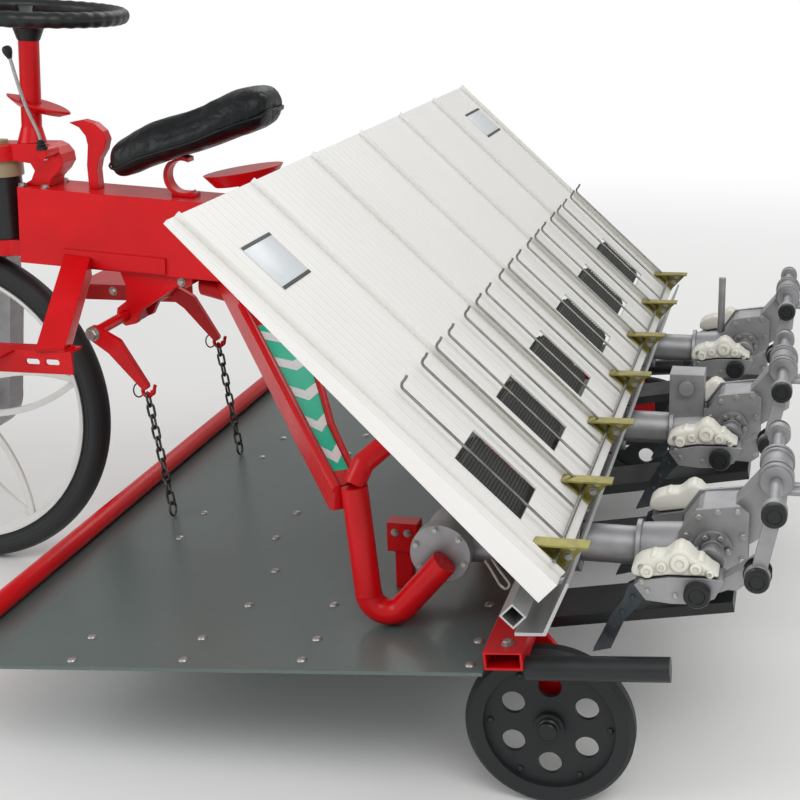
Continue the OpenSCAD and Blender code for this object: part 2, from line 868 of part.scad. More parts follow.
// Flat plate that slides on the mud
boat_front = 736;
boat_rear = -203;
boat_corner = 120;
module boat_plate() {
    color("#66736f")
    on_boat()
        translate([0, 0, -boat_t])
            linear_extrude(boat_t) {
                difference() {
                    translate([boat_rear, -boat_hw]) square([boat_front - boat_rear, 2 * boat_hw]);
                    for (s = [-1, 1])
                        translate([boat_front - boat_corner, s * boat_hw - (s > 0 ? boat_corner : 0)])
                            square([boat_corner + 1, boat_corner]);
                }
                for (s = [-1, 1])
                    translate([boat_front - boat_corner, s * (boat_hw - boat_corner)])
                        circle(r = boat_corner);
            }
}

module boat_front_tube() {
    color(red)
    on_boat()
        across(boat_front - front_tube_r, 0, front_tube_r + seat_gap,
            front_tube_r, 2 * (boat_hw - boat_corner));
}

tongue_end = -572;
tongue_w = 110;
tongue_t = 18;
tongue_flat = 80;
tongue_rise = 5.5;
outer_y = 820;
outer_r = 19;
module boat_tongues() {
    color("#151618")
    on_boat() {
        for (k = [-2 : 2]) {
            translate([boat_rear - seat_gap - tongue_flat, k * row_pitch - tongue_w / 2, -tongue_t])
                cube([tongue_flat, tongue_w, tongue_t]);
            translate([boat_rear - tongue_flat + 5, k * row_pitch - tongue_w / 2, 0])
                rotate([0, tongue_rise, 0])
                    translate([tongue_end - boat_rear + tongue_flat, 0, -tongue_t])
                        cube([boat_rear - tongue_flat - tongue_end, tongue_w, tongue_t]);
        }
        for (k = [-2 : 1])
            translate([boat_rear - 40 - seat_gap, k * row_pitch + tongue_w / 2, -tongue_t])
                cube([40, row_pitch - tongue_w, tongue_t]);
        // Round runners behind the transport brackets
        for (s = [-1, 1])
            translate([tongue_end + 90, s * outer_y, -6])
                rotate([0, 90, 0])
                    cylinder(h = bracket_front - bracket_l - seat_gap - tongue_end - 90, r = outer_r);
    }
}

small_x = -1458;
small_r = small_d / 2;
bracket_front = boat_rear - 2;
bracket_l = 60;
bracket_h = 30;
bracket_wall = 4;
module transport_bracket() {
    inner_y = 2 * row_pitch - 30;
    color(red) {
        on_boat()
            difference() {
                translate([bracket_front - bracket_l, inner_y, seat_gap])
                    cube([bracket_l, outer_y + 22 - inner_y, bracket_h]);
                translate([
                    bracket_front - bracket_l + bracket_wall, inner_y - 1, seat_gap + bracket_wall
                ])
                    cube([
                        bracket_l - 2 * bracket_wall, outer_y + 24 - inner_y, bracket_h - 2 * bracket_wall
                    ]);
            }
        side_plate(small_y - small_w / 2 - 20, small_y - small_w / 2 - 8)
            polygon([
                [small_x - 22, small_r - 8], [small_x - 8, small_r - 22], [small_x + 8, small_r - 22],
                [small_x + 22, small_r - 8], [small_x + 34, 240], [small_x + 74, boat_top(small_x + 74) + 3],
                [small_x + 16, boat_top(small_x + 16) + 3], [small_x - 22, 240]
            ]);
        across(small_x, small_y - 2, small_r, small_axle_r, small_w + 26);
    }
}
module transport_brackets() { both_sides() transport_bracket(); }

// Tyre and pressed disc of one transport wheel, six round holes
module transport_wheel() {
    hole_n = 6;
    color("#141414")
    translate([small_x, small_y, small_r])
        rotate([90, 0, 0])
            difference() {
                union() {
                    rotate_extrude()
                        polygon([
                            [small_r - 30, 4 - small_w / 2], [small_r - 8, -small_w / 2],
                            [small_r, -small_w / 4], [small_r, small_w / 4],
                            [small_r - 8, small_w / 2], [small_r - 30, small_w / 2 - 4]
                        ]);
                    cylinder(h = 8, r = small_r - 28, center = true);
                    cylinder(h = small_w - 6, r = 24, center = true);
                }
                cylinder(h = 2 * small_w, r = small_axle_r + run_gap, center = true);
                for (i = [0 : hole_n - 1])
                    rotate([0, 0, 30 + i * 360 / hole_n])
                        translate([small_r * 0.5, 0, 0])
                            cylinder(h = 20, r = 19, center = true);
            }
}
module transport_wheel_left() { transport_wheel(); }
module transport_wheel_right() { mirror([0, 1, 0]) transport_wheel(); }

// Seedling table
belt_s = table_l - 221;
band_high = 7;
band_low = 40;
module table_sheet() {
    color("#eceae2")
    on_table() {
        difference() {
            translate([-table_l, -table_hw, -sheet_t]) cube([table_l, 2 * table_hw, sheet_t]);
            for (k = [0 : 5])
                translate([-belt_s - window_l, (k - 2.5) * row_pitch + window_shift - window_w / 2, -20])
                    cube([window_l, window_w, 40]);
        }
        for (k = [0 : 6])
            translate([-table_l, (k - 3) * row_pitch - 2.5, 0]) cube([table_l, 5, 9]);
        // Side bands, deeper down the slope
        both_sides()
            side_plate(table_hw - 4, table_hw)
                polygon([[0, 0], [-table_l, 0], [-table_l, -band_low], [0, -band_high]]);
        translate([-4, -table_hw, -band_high]) cube([4, 2 * table_hw, band_high]);
        // Slides that run on the fixed rail
        for (s = [-1, 1])
            difference() {
                translate([-rail_s - 28, s * 400 - 25, rail_h - 28]) cube([56, 50, -rail_h + 28 - sheet_t]);
                across(-rail_s, s * 400, rail_h, rail_r + seat_gap, 60);
            }
    }
}

beam_s = table_l - 13;
beam_n = -76;
module table_beam() {
    tube = 28;
    color("#b9bcbb")
    on_table() {
        difference() {
            translate([-beam_s - tube / 2, -table_hw - 14, beam_n - tube / 2])
                cube([tube, 2 * table_hw + 28, tube]);
            translate([-beam_s - tube / 2 + 3, -table_hw - 15, beam_n - tube / 2 + 3])
                cube([tube - 6, 2 * table_hw + 30, tube - 6]);
        }
        both_sides()
            translate([-table_l + 2, table_hw - 60, beam_n + tube / 2 - 1])
                cube([24, 5, 1 - beam_n - tube / 2 - sheet_t - seat_gap]);
    }
}

// Two shafts that carry the feed belts
belt_r = 14;
belt_w = 124;
function belt_y(k) = (k - 2.5) * row_pitch + window_shift;
module belt_shafts() {
    color("#8c8f8f")
    on_table()
        for (s = [belt_s + belt_r + 4, belt_s + window_l - belt_r - 4])
            across(-s, 0, -belt_r - 2, 6, 2 * table_hw - 8 - 2 * seat_gap);
}

module feed_belts() {
    color("#1b1c1c")
    on_table()
        for (k = [0 : 5])
            difference() {
                union() {
                    for (s = [belt_s + belt_r + 4, belt_s + window_l - belt_r - 4])
                        across(-s, belt_y(k), -belt_r - 2, belt_r, belt_w);
                    translate([-belt_s - window_l + belt_r + 4, belt_y(k) - belt_w / 2, -2 * belt_r - 2])
                        cube([window_l - 2 * belt_r - 8, belt_w, 2 * belt_r]);
                }
                for (s = [belt_s + belt_r + 4, belt_s + window_l - belt_r - 4])
                    across(-s, belt_y(k), -belt_r - 2, 6 + run_gap, belt_w + 2);
            }
}

// Steel wires that hold the mats down, on one cross rod
rod_places = [-138, -45, 77];
rod_foot_s = table_l - 24;
rod_tip_s = table_l - 352;
rod_h = 14;
cross_rod_r = 3;
module press_rods() {
    color("#8d8d85")
    on_table()
        union() {
            across(-rod_foot_s, 0, rod_h, cross_rod_r, 2 * table_hw - 40);
            for (k = [0 : 5])
                for (dy = rod_places)
                    translate([0, (k - 2.5) * row_pitch + dy, 0]) {
                        translate([-rod_foot_s, 0, rod_h])
                            rotate([0, 90, 0]) cylinder(h = rod_foot_s - rod_tip_s, r = rod_r);
                        translate([-rod_tip_s, 0, rod_h - rod_r]) cylinder(h = 22, r = rod_r);
                    }
        }
}

gusset_l = 60;
lip_l = 82;
// Folded zinc brackets along the table's lower edge
module corner_brackets() {
    color("#8b8758")
    on_table()
        for (k = [0 : 6])
            difference() {
                translate([0, (k - 3) * row_pitch - (k == 6 ? 40 : 0), 0]) {
                    translate([-table_l, 3, seat_gap]) cube([gusset_l, 20, 3]);
                    side_plate(3, 6)
                        polygon([
                            [gusset_l - table_l, seat_gap], [-table_l, seat_gap],
                            [gusset_l - table_l - lip_l * cos(table_tilt),
                                seat_gap + lip_l * sin(table_tilt)]
                        ]);
                    // Level lip along the gusset's upper edge
                    translate([gusset_l - table_l, 3, seat_gap])
                        rotate([0, table_tilt, 0])
                            translate([-lip_l, 0, -1]) cube([lip_l - 2, 30, 3]);
                }
                for (h = [[46, 32], [52, 16]])
                    across(gusset_l - table_l - h[0], (k - 3) * row_pitch, h[1], 4, 110);
                across(-rod_foot_s, 0, rod_h, cross_rod_r + run_gap, 2 * table_hw);
                translate([-table_l, (k - 2.5) * row_pitch + rod_places[0], rod_h])
                    rotate([0, 90, 0]) cylinder(h = 100, r = rod_r + seat_gap);
            }
}

// Steering pin, mounting plate and bumper of the swivelling head
plate_z = 770;
plate_t = 12;
module head_frame() {
    color("#1c1d1f") {
        translate([pin_x, 0, lug_z - 6]) cylinder(h = base_z + base_t + 14 - lug_z, r = pin_r);
        translate([pin_x, 0, lug_z + lug_t + seat_gap])
            cylinder(h = neck_top - lug_z - lug_t - seat_gap, r = 40);
        translate([pin_x, -45, plate_z - 18]) cube([80, 90, plate_t + 18]);
        translate([pin_x + 70, -140, plate_z]) cube([560, 280, plate_t]);
    }
    color("#b9ab8c")
        translate([pin_x, 0, neck_top]) cylinder(h = base_z - neck_top - seat_gap, r = 46);
    color(red)
        difference() {
            union() {
                tube_path([
                    [400, -120, plate_z + 16], [front_reach - 14, -120, plate_z + 16],
                    [front_reach - 14, 120, plate_z + 16], [400, 120, plate_z + 16]
                ], 14);
            }
            translate([0, -200, plate_z - 20]) cube([600, 400, 20 + plate_t - 0.5]);
        }
}

// Gear case beside the wheel, from the mounting plate down to the axle
leg_y = -95;
leg_w = 60;
module drive_leg() {
    color("#5b5f61")
    side_plate(leg_y - leg_w / 2, leg_y + leg_w / 2) {
        translate([0, wheel_r]) circle(r = 92);
        polygon([
            [-92, wheel_r], [92, wheel_r], [122, 600], [122, plate_z - seat_gap],
            [-122, plate_z - seat_gap], [-122, 600]
        ]);
    }
    axle_from = leg_y + leg_w / 2;
    axle_to = wheel_w / 2 + 12;
    color("#9a9ea0") across(0, (axle_from + axle_to) / 2, wheel_r, axle_r, axle_to - axle_from);
}

// Single-cylinder air-cooled engine over the wheel
eng_x = 250;
block_l = 240;
block_w = 190;
block_h = 170;
block_z = plate_z + plate_t + seat_gap;
top_z = block_z + block_h + seat_gap;
fin_n = 8;
fin_w = 136;
tank_l = 110;
tank_w = 220;
tank_h = 120;
module engine() {
    color("#2f3335")
    union() {
        translate([eng_x - block_l / 2, -block_w / 2, block_z]) cube([block_l, block_w, block_h]);
        across(eng_x, block_w / 2 + 30, block_z + 100, 95, 60);
        translate([eng_x, 0, block_z + block_h - 1]) cylinder(h = 121, r = 46);
        for (i = [0 : fin_n - 1])
            translate([eng_x - fin_w / 2, -fin_w / 2, block_z + block_h + 8 + i * 12])
                cube([fin_w, fin_w, 4]);
        translate([eng_x - 60, -60, block_z + block_h + 108]) cube([120, 120, 36]);
    }
}

module fuel_tank() {
    color(red)
    translate([eng_x - 80 - tank_l, -tank_w / 2, top_z]) cube([tank_l, tank_w, tank_h]);
}

module muffler() {
    color("#3b3b3b")
    translate([eng_x + 80, -90, top_z]) cube([90, 180, 100]);
}

module belt_drive() {
    color("#3d4245") {
        across(eng_x, -95 - 20 - seat_gap, plate_z + plate_t + 100, 60, 40);
        across(90, -95 - 20 - seat_gap, plate_z + plate_t + 70, 55, 40);
    }
}

module front_tyre() {
    hw = wheel_w / 2;
    color("#17181a")
    translate([0, 0, wheel_r])
        rotate([90, 0, 0])
            rotate_extrude($fn = 96)
                polygon([
                    [rim_r + seat_gap, -hw * 0.62], [rim_r + 18, -hw * 0.9], [wheel_r - 16, -hw],
                    [wheel_r - 4, -hw * 0.7], [wheel_r, -hw * 0.25], [wheel_r, hw * 0.25],
                    [wheel_r - 4, hw * 0.7], [wheel_r - 16, hw], [rim_r + 18, hw * 0.9],
                    [rim_r + seat_gap, hw * 0.62]
                ]);
}

// One curved spoke, flat, from the hub to the rim; the two of a pair bulge to opposite sides
first_pair = 167;
spoke_rise = 27;
module curved_spoke(hub_r, side) {
    a = [32, 30 * side];
    b = [rim_r - 9, 0];
    d = b - a;
    l = norm(d);
    across_d = side * [-d[1], d[0]] / l;
    bow_r = (l * l / 4 + spoke_rise * spoke_rise) / (2 * spoke_rise);
    intersection() {
        translate((a + b) / 2 - across_d * (bow_r - spoke_rise))
            difference() {
                circle(r = bow_r + spoke_w / 2, $fn = 96);
                circle(r = bow_r - spoke_w / 2, $fn = 96);
            }
        polygon([
            a - across_d * spoke_w, b - across_d * spoke_w, b + across_d * 2 * spoke_rise,
            a + across_d * 2 * spoke_rise
        ]);
    }
}

module front_rim() {
    hub_r = 46;
    color("#e6e6e4")
    translate([0, 0, wheel_r])
        rotate([90, 0, 0])
            difference() {
                union() {
                    rotate_extrude($fn = 96)
                        polygon([
                            [rim_r - 18, -4], [rim_r - 6, -22], [rim_r, -22], [rim_r, 22], [rim_r - 6, 22],
                            [rim_r - 18, 4]
                        ]);
                    cylinder(h = 62, r = hub_r, center = true);
                    for (row = [-1, 1])
                        translate([0, 0, row > 0 ? 1 : -9])
                            for (i = [0 : spoke_pairs - 1])
                                rotate([0, 0, first_pair + i * 360 / spoke_pairs])
                                    linear_extrude(8) curved_spoke(hub_r, row);
                }
                cylinder(h = 100, r = axle_r + run_gap, center = true);
            }
}

// Steering wheel on the column's top
module steering_wheel() {
    boss_h = 27;
    dish = 19;
    color("#10231f")
    on_column() translate([0, 0, column_l + seat_gap]) {
        cylinder(h = boss_h, r1 = 24, r2 = 33);
        translate([0, 0, boss_h]) cylinder(h = 9, r = 48);
        translate([0, 0, boss_h + 8 + dish]) rotate_extrude() translate([hand_wheel_r, 0]) circle(r = grip_r);
        for (i = [0 : 2])
            rotate([0, 0, 60 + i * 120])
                bar([30, 0, boss_h + 4], [hand_wheel_r, 0, boss_h + 8 + dish], 36, 8);
    }
}

module placed() { translate([origin_x, 0, 0]) children(); }

placed() main_beam();
placed() steering_base();
placed() steering_column();
placed() column_plate();
placed() gear_lever();
placed() saddle_brackets();
placed() saddle();
placed() step_plate();
placed() footrests();
placed() lift_bracket();
placed() lift_levers();
placed() lift_chains();
placed() drive_shaft();
placed() rear_arms();
placed() hoops();
placed() table_rail();
placed() cross_tube();
placed() planting_gearbox();
placed() planting_cases();
placed() cranks();
placed() planting_arms();
placed() planting_claws();
placed() arm_covers();
placed() rockers();
placed() gate_rail();
placed() boat_plate();
placed() boat_front_tube();
placed() boat_tongues();
placed() transport_brackets();
placed() table_sheet();
placed() table_beam();
placed() belt_shafts();
placed() feed_belts();
placed() press_rods();
placed() corner_brackets();
placed() head_frame();
placed() drive_leg();
placed() engine();
placed() fuel_tank();
placed() muffler();
placed() belt_drive();
placed() front_tyre();
placed() front_rim();
placed() steering_wheel();
placed() transport_wheel_left();
placed() transport_wheel_right();
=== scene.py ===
import math
import random

import bmesh
import bpy
from mathutils import Matrix, Vector, noise


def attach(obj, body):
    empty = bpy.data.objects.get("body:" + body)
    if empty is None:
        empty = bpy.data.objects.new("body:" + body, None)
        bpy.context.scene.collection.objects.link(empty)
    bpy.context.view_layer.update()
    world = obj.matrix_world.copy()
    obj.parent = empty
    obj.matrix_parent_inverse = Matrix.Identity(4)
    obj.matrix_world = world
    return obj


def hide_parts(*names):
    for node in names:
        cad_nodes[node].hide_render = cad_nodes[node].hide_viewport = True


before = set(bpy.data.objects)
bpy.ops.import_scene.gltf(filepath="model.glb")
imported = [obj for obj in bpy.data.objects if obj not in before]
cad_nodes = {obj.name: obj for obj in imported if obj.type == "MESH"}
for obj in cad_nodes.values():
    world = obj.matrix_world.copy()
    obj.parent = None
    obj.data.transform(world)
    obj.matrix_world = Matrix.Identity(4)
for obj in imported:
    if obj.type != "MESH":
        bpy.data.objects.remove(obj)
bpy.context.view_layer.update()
random.seed(11)

# Studio: seamless pale paper under the machine, three large soft lamps, and the camera where
# the photograph was taken from, at the rider's left and a little behind the middle.


def linear(hex_colour):
    """The linear RGBA of an sRGB hex colour."""
    parts = [int(hex_colour[i:i + 2], 16) / 255 for i in (1, 3, 5)]
    return [c / 12.92 if c <= 0.04045 else ((c + 0.055) / 1.055) ** 2.4 for c in parts] + [1.0]


def add(tree, kind, links=None, **settings):
    """One shader node with its settings, constants and links."""
    node = tree.nodes.new("ShaderNode" + kind)
    for name, value in settings.items():
        setattr(node, name, value)
    for socket, value in (links or {}).items():
        if isinstance(value, bpy.types.NodeSocket):
            tree.links.new(value, node.inputs[socket])
        else:
            node.inputs[socket].default_value = value
    return node


def blank_finish(name):
    """A new material and its empty node tree."""
    finish = bpy.data.materials.new(name)
    finish.use_nodes = True
    finish.node_tree.nodes.clear()
    return finish, finish.node_tree


floor_half = 12.0
fade_from, fade_to = 2.0, 6.0
floor_mesh = bpy.data.meshes.new("studio_floor")
floor_mesh.from_pydata(
    [(-floor_half, -floor_half, 0), (floor_half, -floor_half, 0), (floor_half, floor_half, 0),
     (-floor_half, floor_half, 0)], [], [(0, 1, 2, 3)])
floor = bpy.data.objects.new("studio_floor", floor_mesh)
bpy.context.scene.collection.objects.link(floor)

# Matt seamless paper: it takes the machine's shadow and fades to white further out
paper, tree = blank_finish("seamless_paper")
paper_shade = add(tree, "BsdfDiffuse", {"Color": linear("#f4f4f3")}).outputs[0]
paper_white = add(tree, "Emission", {"Color": linear("#ffffff"), "Strength": 1.0}).outputs[0]
paper_place = add(tree, "TexCoord").outputs["Object"]
paper_out = add(tree, "VectorMath", {0: paper_place}, operation="LENGTH").outputs["Value"]
paper_fade = add(tree, "MapRange", {"Value": paper_out, "From Min": fade_from, "From Max": fade_to},
                 interpolation_type="SMOOTHSTEP").outputs["Result"]
paper_rays = add(tree, "LightPath").outputs
paper_seen = add(tree, "Math", {0: paper_rays["Is Camera Ray"], 1: paper_rays["Is Glossy Ray"]},
                 operation="MAXIMUM").outputs[0]
paper_mix = add(tree, "Math", {0: paper_fade, 1: paper_seen}, operation="MULTIPLY").outputs[0]
paper_skin = add(tree, "MixShader", {0: paper_mix, 1: paper_shade, 2: paper_white}).outputs[0]
add(tree, "OutputMaterial", {"Surface": paper_skin})
floor_mesh.materials.append(paper)

air = bpy.data.worlds.new("studio_air")
bpy.context.scene.world = air
air.use_nodes = True
tree = air.node_tree
tree.nodes.clear()
air_rays = add(tree, "LightPath").outputs
air_seen = add(tree, "Math", {0: air_rays["Is Camera Ray"], 1: air_rays["Is Transmission Ray"]},
               operation="MAXIMUM").outputs[0]
air_light = add(tree, "Background", {"Color": linear("#ffffff"), "Strength": 0.5}).outputs[0]
air_white = add(tree, "Background", {"Color": linear("#ffffff"), "Strength": 1.0}).outputs[0]
air_mix = add(tree, "MixShader", {0: air_seen, 1: air_light, 2: air_white}).outputs[0]
add(tree, "OutputWorld", {"Surface": air_mix})

# Lamp: place, what it points at, its two sides in metres, watts
for lamp_name, lamp_at, lamp_to, lamp_sides, watts in [
        ("key_lamp", (-2.4, 3.4, 4.2), (-0.1, 0.0, 0.5), (3.2, 2.4), 112),
        ("front_lamp", (3.2, 3.0, 2.6), (0.2, 0.0, 0.5), (2.4, 2.0), 52),
        ("back_lamp", (-0.5, -3.6, 3.6), (-0.2, 0.0, 0.5), (3.6, 1.6), 48)]:
    lamp = bpy.data.lights.new(lamp_name, "AREA")
    lamp.shape = "RECTANGLE"
    lamp.size, lamp.size_y = lamp_sides
    lamp.energy = watts
    lamp_stand = bpy.data.objects.new(lamp_name, lamp)
    lamp_stand.location = lamp_at
    lamp_aim = Vector(lamp_to) - Vector(lamp_at)
    lamp_stand.rotation_euler = lamp_aim.to_track_quat("-Z", "Y").to_euler()
    bpy.context.scene.collection.objects.link(lamp_stand)

camera_at = Vector((-1.13466, 2.78942, 1.32707))
camera_yaw = math.radians(13.741)
camera_pitch = math.radians(17.400)
camera_roll = math.radians(-1.4016)
photo_side = 800
focal_pixels = 1471.118
optical_centre = (444.765, 399.884)
sensor_width = 36.0
look = Vector((math.sin(camera_yaw) * math.cos(camera_pitch),
               -math.cos(camera_yaw) * math.cos(camera_pitch),
               -math.sin(camera_pitch)))
level_right = look.cross(Vector((0, 0, 1))).normalized()
level_up = level_right.cross(look)
right = level_right * math.cos(camera_roll) + level_up * math.sin(camera_roll)
up = level_up * math.cos(camera_roll) - level_right * math.sin(camera_roll)
lens = bpy.data.cameras.new("photo_camera")
lens.sensor_width = sensor_width
lens.lens = focal_pixels / photo_side * sensor_width
lens.shift_x = (photo_side / 2 - optical_centre[0]) / photo_side
lens.shift_y = (optical_centre[1] - photo_side / 2) / photo_side
camera = bpy.data.objects.new("photo_camera", lens)
camera.matrix_world = Matrix((
    (right.x, up.x, -look.x, camera_at.x),
    (right.y, up.y, -look.y, camera_at.y),
    (right.z, up.z, -look.z, camera_at.z),
    (0, 0, 0, 1)))
bpy.context.scene.collection.objects.link(camera)
bpy.context.scene.camera = camera
bpy.context.scene.view_settings.view_transform = "Standard"

# Beam and steering base: a box beam welded from folded sheet steel, and an iron casting bolted
# over its front end that holds the steering pin. Both are sprayed with one bright red enamel.


def shade_corners(tree, colour, reach, start, end, most, dark):
    """A colour darkened in its corners by painted shade: how far it reaches, where it starts and ends, its
    strength.
    """
    near = add(tree, "AmbientOcclusion", {"Distance": reach}, samples=4).outputs["AO"]
    corner_shade = add(tree, "MapRange", {"Value": near, "From Min": start, "From Max": end,
                                  "To Min": most, "To Max": 0.0}).outputs[0]
    return add(tree, "Mix", {0: corner_shade, 6: colour, 7: linear(dark)}, data_type="RGBA").outputs[2]


def seal(tree, surface, edge=None, height=None, strength=0.0, depth=0.0):
    """Ends a finish: softened edges, raised grain, the surface itself and the output."""
    if edge:
        surface["Normal"] = add(tree, "Bevel", {"Radius": edge}, samples=4).outputs[0]
    if height is not None:
        relief = {"Height": height, "Strength": strength, "Distance": depth}
        if "Normal" in surface:
            relief["Normal"] = surface["Normal"]
        surface["Normal"] = add(tree, "Bump", relief).outputs[0]
    skin = add(tree, "BsdfPrincipled", surface).outputs[0]
    add(tree, "OutputMaterial", {"Surface": skin})


def clouded(name, patch, shades, gloss, surface, detail=4.0, drift=None, tone=None, corner_shade=None,
            grain=None, edge=None, stretch=None, gloss_by_grain=False):
    """A finish whose shade and gloss drift over patches of a real size.

    gloss is one roughness, or its two ends, which follow the patches or else the grain. surface
    holds the skin's other values, and drift the patches'. tone is where the second shade starts,
    where it ends and how strong it gets. The corner values paint shade into the corners after the
    colour, and are what the corner function takes. grain is its size, detail, strength and depth.
    edge is the radius of softened edges. stretch scales the pattern along each axis. Sizes are in
    metres.
    """
    finish, tree = blank_finish(name)
    place = add(tree, "TexCoord").outputs["Object"]
    if stretch:
        place = add(tree, "Mapping", {"Vector": place, "Scale": stretch}).outputs[0]
    cloud = add(tree, "TexNoise", {"Vector": place, "Scale": 1 / patch, "Detail": detail,
                                   **(drift or {})}).outputs[0]
    amount = cloud
    if tone:
        amount = add(tree, "MapRange", {"Value": cloud, "From Min": tone[0], "From Max": tone[1],
                                        "To Max": tone[2]}).outputs[0]
    colour = add(tree, "Mix", {0: amount, 6: linear(shades[0]), 7: linear(shades[1])},
                 data_type="RGBA").outputs[2]
    if corner_shade:
        colour = shade_corners(tree, colour, *corner_shade)
    raised = []
    if grain:
        size, fineness, strength, depth = grain
        bumps = add(tree, "TexNoise", {"Vector": place, "Scale": 1 / size, "Detail": fineness}).outputs[0]
        raised = [bumps, strength, depth]
    if isinstance(gloss, tuple):
        gloss = add(tree, "MapRange", {"Value": raised[0] if gloss_by_grain else cloud,
                                       "To Min": gloss[0], "To Max": gloss[1]}).outputs[0]
    seal(tree, {"Base Color": colour, "Roughness": gloss, **surface}, edge, *raised)
    return finish


# Alkyd enamel, sprayed on steel: an even gloss, a faint orange peel, slightly thin edges, and painted shade
# deepening the red in its corners
coat_patch = 0.14
peel_size = 0.004
red_enamel = clouded("sprayed_red_enamel", coat_patch, ("#dc0914", "#c80711"), (0.2, 0.4),
                     {"IOR": 1.5, "Specular IOR Level": 0.3}, tone=(0.3, 0.7, 1.0),
                     corner_shade=(0.03, 0.15, 0.75, 0.55, "#5c0a0c"), grain=(peel_size, 1.0, 0.12, 0.0005),
                     edge=0.003)


def dress(finish, *names):
    """Gives CAD nodes their finish."""
    for name in names:
        for socket in cad_nodes[name].material_slots:
            socket.material = finish


dress(red_enamel, "main_beam", "steering_base")


def set_up(name, bm, finish, body, sharp=35):
    """Makes a piece of a bmesh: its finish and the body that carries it."""
    bmesh.ops.recalc_face_normals(bm, faces=bm.faces)
    mesh = bpy.data.meshes.new(name)
    bm.to_mesh(mesh)
    bm.free()
    mesh.materials.append(finish)
    mesh.shade_smooth()
    mesh.set_sharp_from_angle(angle=math.radians(sharp))
    part = bpy.data.objects.new(name, mesh)
    bpy.context.scene.collection.objects.link(part)
    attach(part, body)
    return part


def circle(radius, count, first=0.0, step=None):
    """Pairs on a circle: radius, how many, and the first one and the step in degrees."""
    step = 360 / count if step is None else step
    angles = [math.radians(first + step * k) for k in range(count)]
    return [(radius * math.cos(angle), radius * math.sin(angle)) for angle in angles]


def turn(bm, profile, seat=Matrix(), sides=24):
    """A turned solid: radius and height points swung about the seat's z axis."""
    rings = []
    for radius, height in profile:
        if radius < 1e-6:
            rings.append([bm.verts.new(seat @ Vector((0, 0, height)))])
        else:
            rings.append([bm.verts.new(seat @ Vector((x, y, height))) for x, y in circle(radius, sides)])
    for low, high in zip(rings, rings[1:]):
        for k in range(sides):
            corners = [low[k % len(low)], low[(k + 1) % len(low)],
                       high[(k + 1) % len(high)], high[k % len(high)]]
            corners = list(dict.fromkeys(corners))
            if len(corners) > 2:
                bm.faces.new(corners)


def seat_at(place, axis):
    """The matrix of a seat at a place, with z along an axis."""
    return Matrix.Translation(place) @ Vector(axis).to_track_quat("Z", "Y").to_matrix().to_4x4()


def hex_bolt(bm, place, axis, across):
    """A washer with a chamfered hexagon head, by its size across corners."""
    seat = seat_at(place, axis)
    half = across / 2
    turn(bm, [(0, 0), (half * 1.25, 0), (half * 1.25, half * 0.2), (0, half * 0.2)], seat, 20)
    turn(bm, [(0, half * 0.2), (half * 0.97, half * 0.2), (half, half * 0.3), (half, half * 0.75),
              (half * 0.8, half * 0.92), (0, half * 0.92)], seat, 6)


# Zinc-plated steel, rolled threads and forged heads: bright grey with a soft broken shine
zinc_patch = 0.006
bright_zinc = clouded("bright_zinc_plate", zinc_patch, ("#c9cac6", "#9c9d98"), (0.28, 0.5),
                      {"Metallic": 0.9}, detail=3.0)

beam_pitch = math.tan(math.radians(3.7))
beam_front = 0.437


def beam_top(x):
    """Height of the beam's upper face."""
    return 0.8613 - (beam_front - x) * beam_pitch


bm = bmesh.new()
for bolt_x in (0.372, 0.423):
    for side in (-1, 1):
        hex_bolt(bm, (bolt_x, side * 0.0445, beam_top(bolt_x)), (beam_pitch, 0, 1), 0.015)
for bolt_x, bolt_z in ((0.372, 0.920), (0.470, 0.925)):
    for side in (-1, 1):
        hex_bolt(bm, (bolt_x, side * 0.030, bolt_z), (0, side, 0), 0.013)
set_up("base_bolts", bm, bright_zinc, "chassis")

# Steering column and hand wheel: a red steel tube leaning back a little, with a leaf-shaped
# dished plate, and a wheel of black plastic moulded over a steel core with a finger-waved grip.

dress(red_enamel, "steering_column", "column_plate")

# Polypropylene, injection moulded: black with a fine spark-eroded grain that dulls the shine
spark_grain = 0.0012
worn_patch = 0.05556
black_moulding = clouded("moulded_black_plastic", worn_patch, ("#0d100f", "#1a1f1d"), (0.32, 0.55),
                         {"IOR": 1.49}, detail=3.0, grain=(spark_grain, 1.0, 0.15, 0.0002))


def sweep(bm, points, radius, sides=10, closed=False):
    """A round bar along points; radius is one number, or one for each point."""
    points = [Vector(point) for point in points]
    count = len(points)
    radii = radius if isinstance(radius, list) else [radius] * count
    rings = []
    side = None
    for i, point in enumerate(points):
        before = points[i - 1] if closed or i else point
        after = points[(i + 1) % count] if closed or i < count - 1 else point
        along = (after - before).normalized()
        side = along.orthogonal() if side is None else side - along * side.dot(along)
        side.normalize()
        over = along.cross(side)
        rings.append([bm.verts.new(point + side * x + over * y) for x, y in circle(radii[i], sides)])
    for i in range(count if closed else count - 1):
        low, high = rings[i], rings[(i + 1) % count]
        for k in range(sides):
            bm.faces.new([low[k], low[(k + 1) % sides], high[(k + 1) % sides], high[k]])
    if not closed:
        bm.faces.new(rings[0])
        bm.faces.new(rings[-1])


def bend(points, steps=6):
    """A smooth run of points through the given ones."""
    points = [Vector(point) for point in points]
    ends = [points[0] * 2 - points[1]] + points + [points[-1] * 2 - points[-2]]
    run = []
    for a, b, c, d in zip(ends, ends[1:], ends[2:], ends[3:]):
        for step in range(steps):
            t = step / steps
            run.append(0.5 * (2 * b + (c - a) * t + (2 * a - 5 * b + 4 * c - d) * t * t
                              + (3 * b - 3 * c + d - a) * t ** 3))
    return run + [points[-1]]


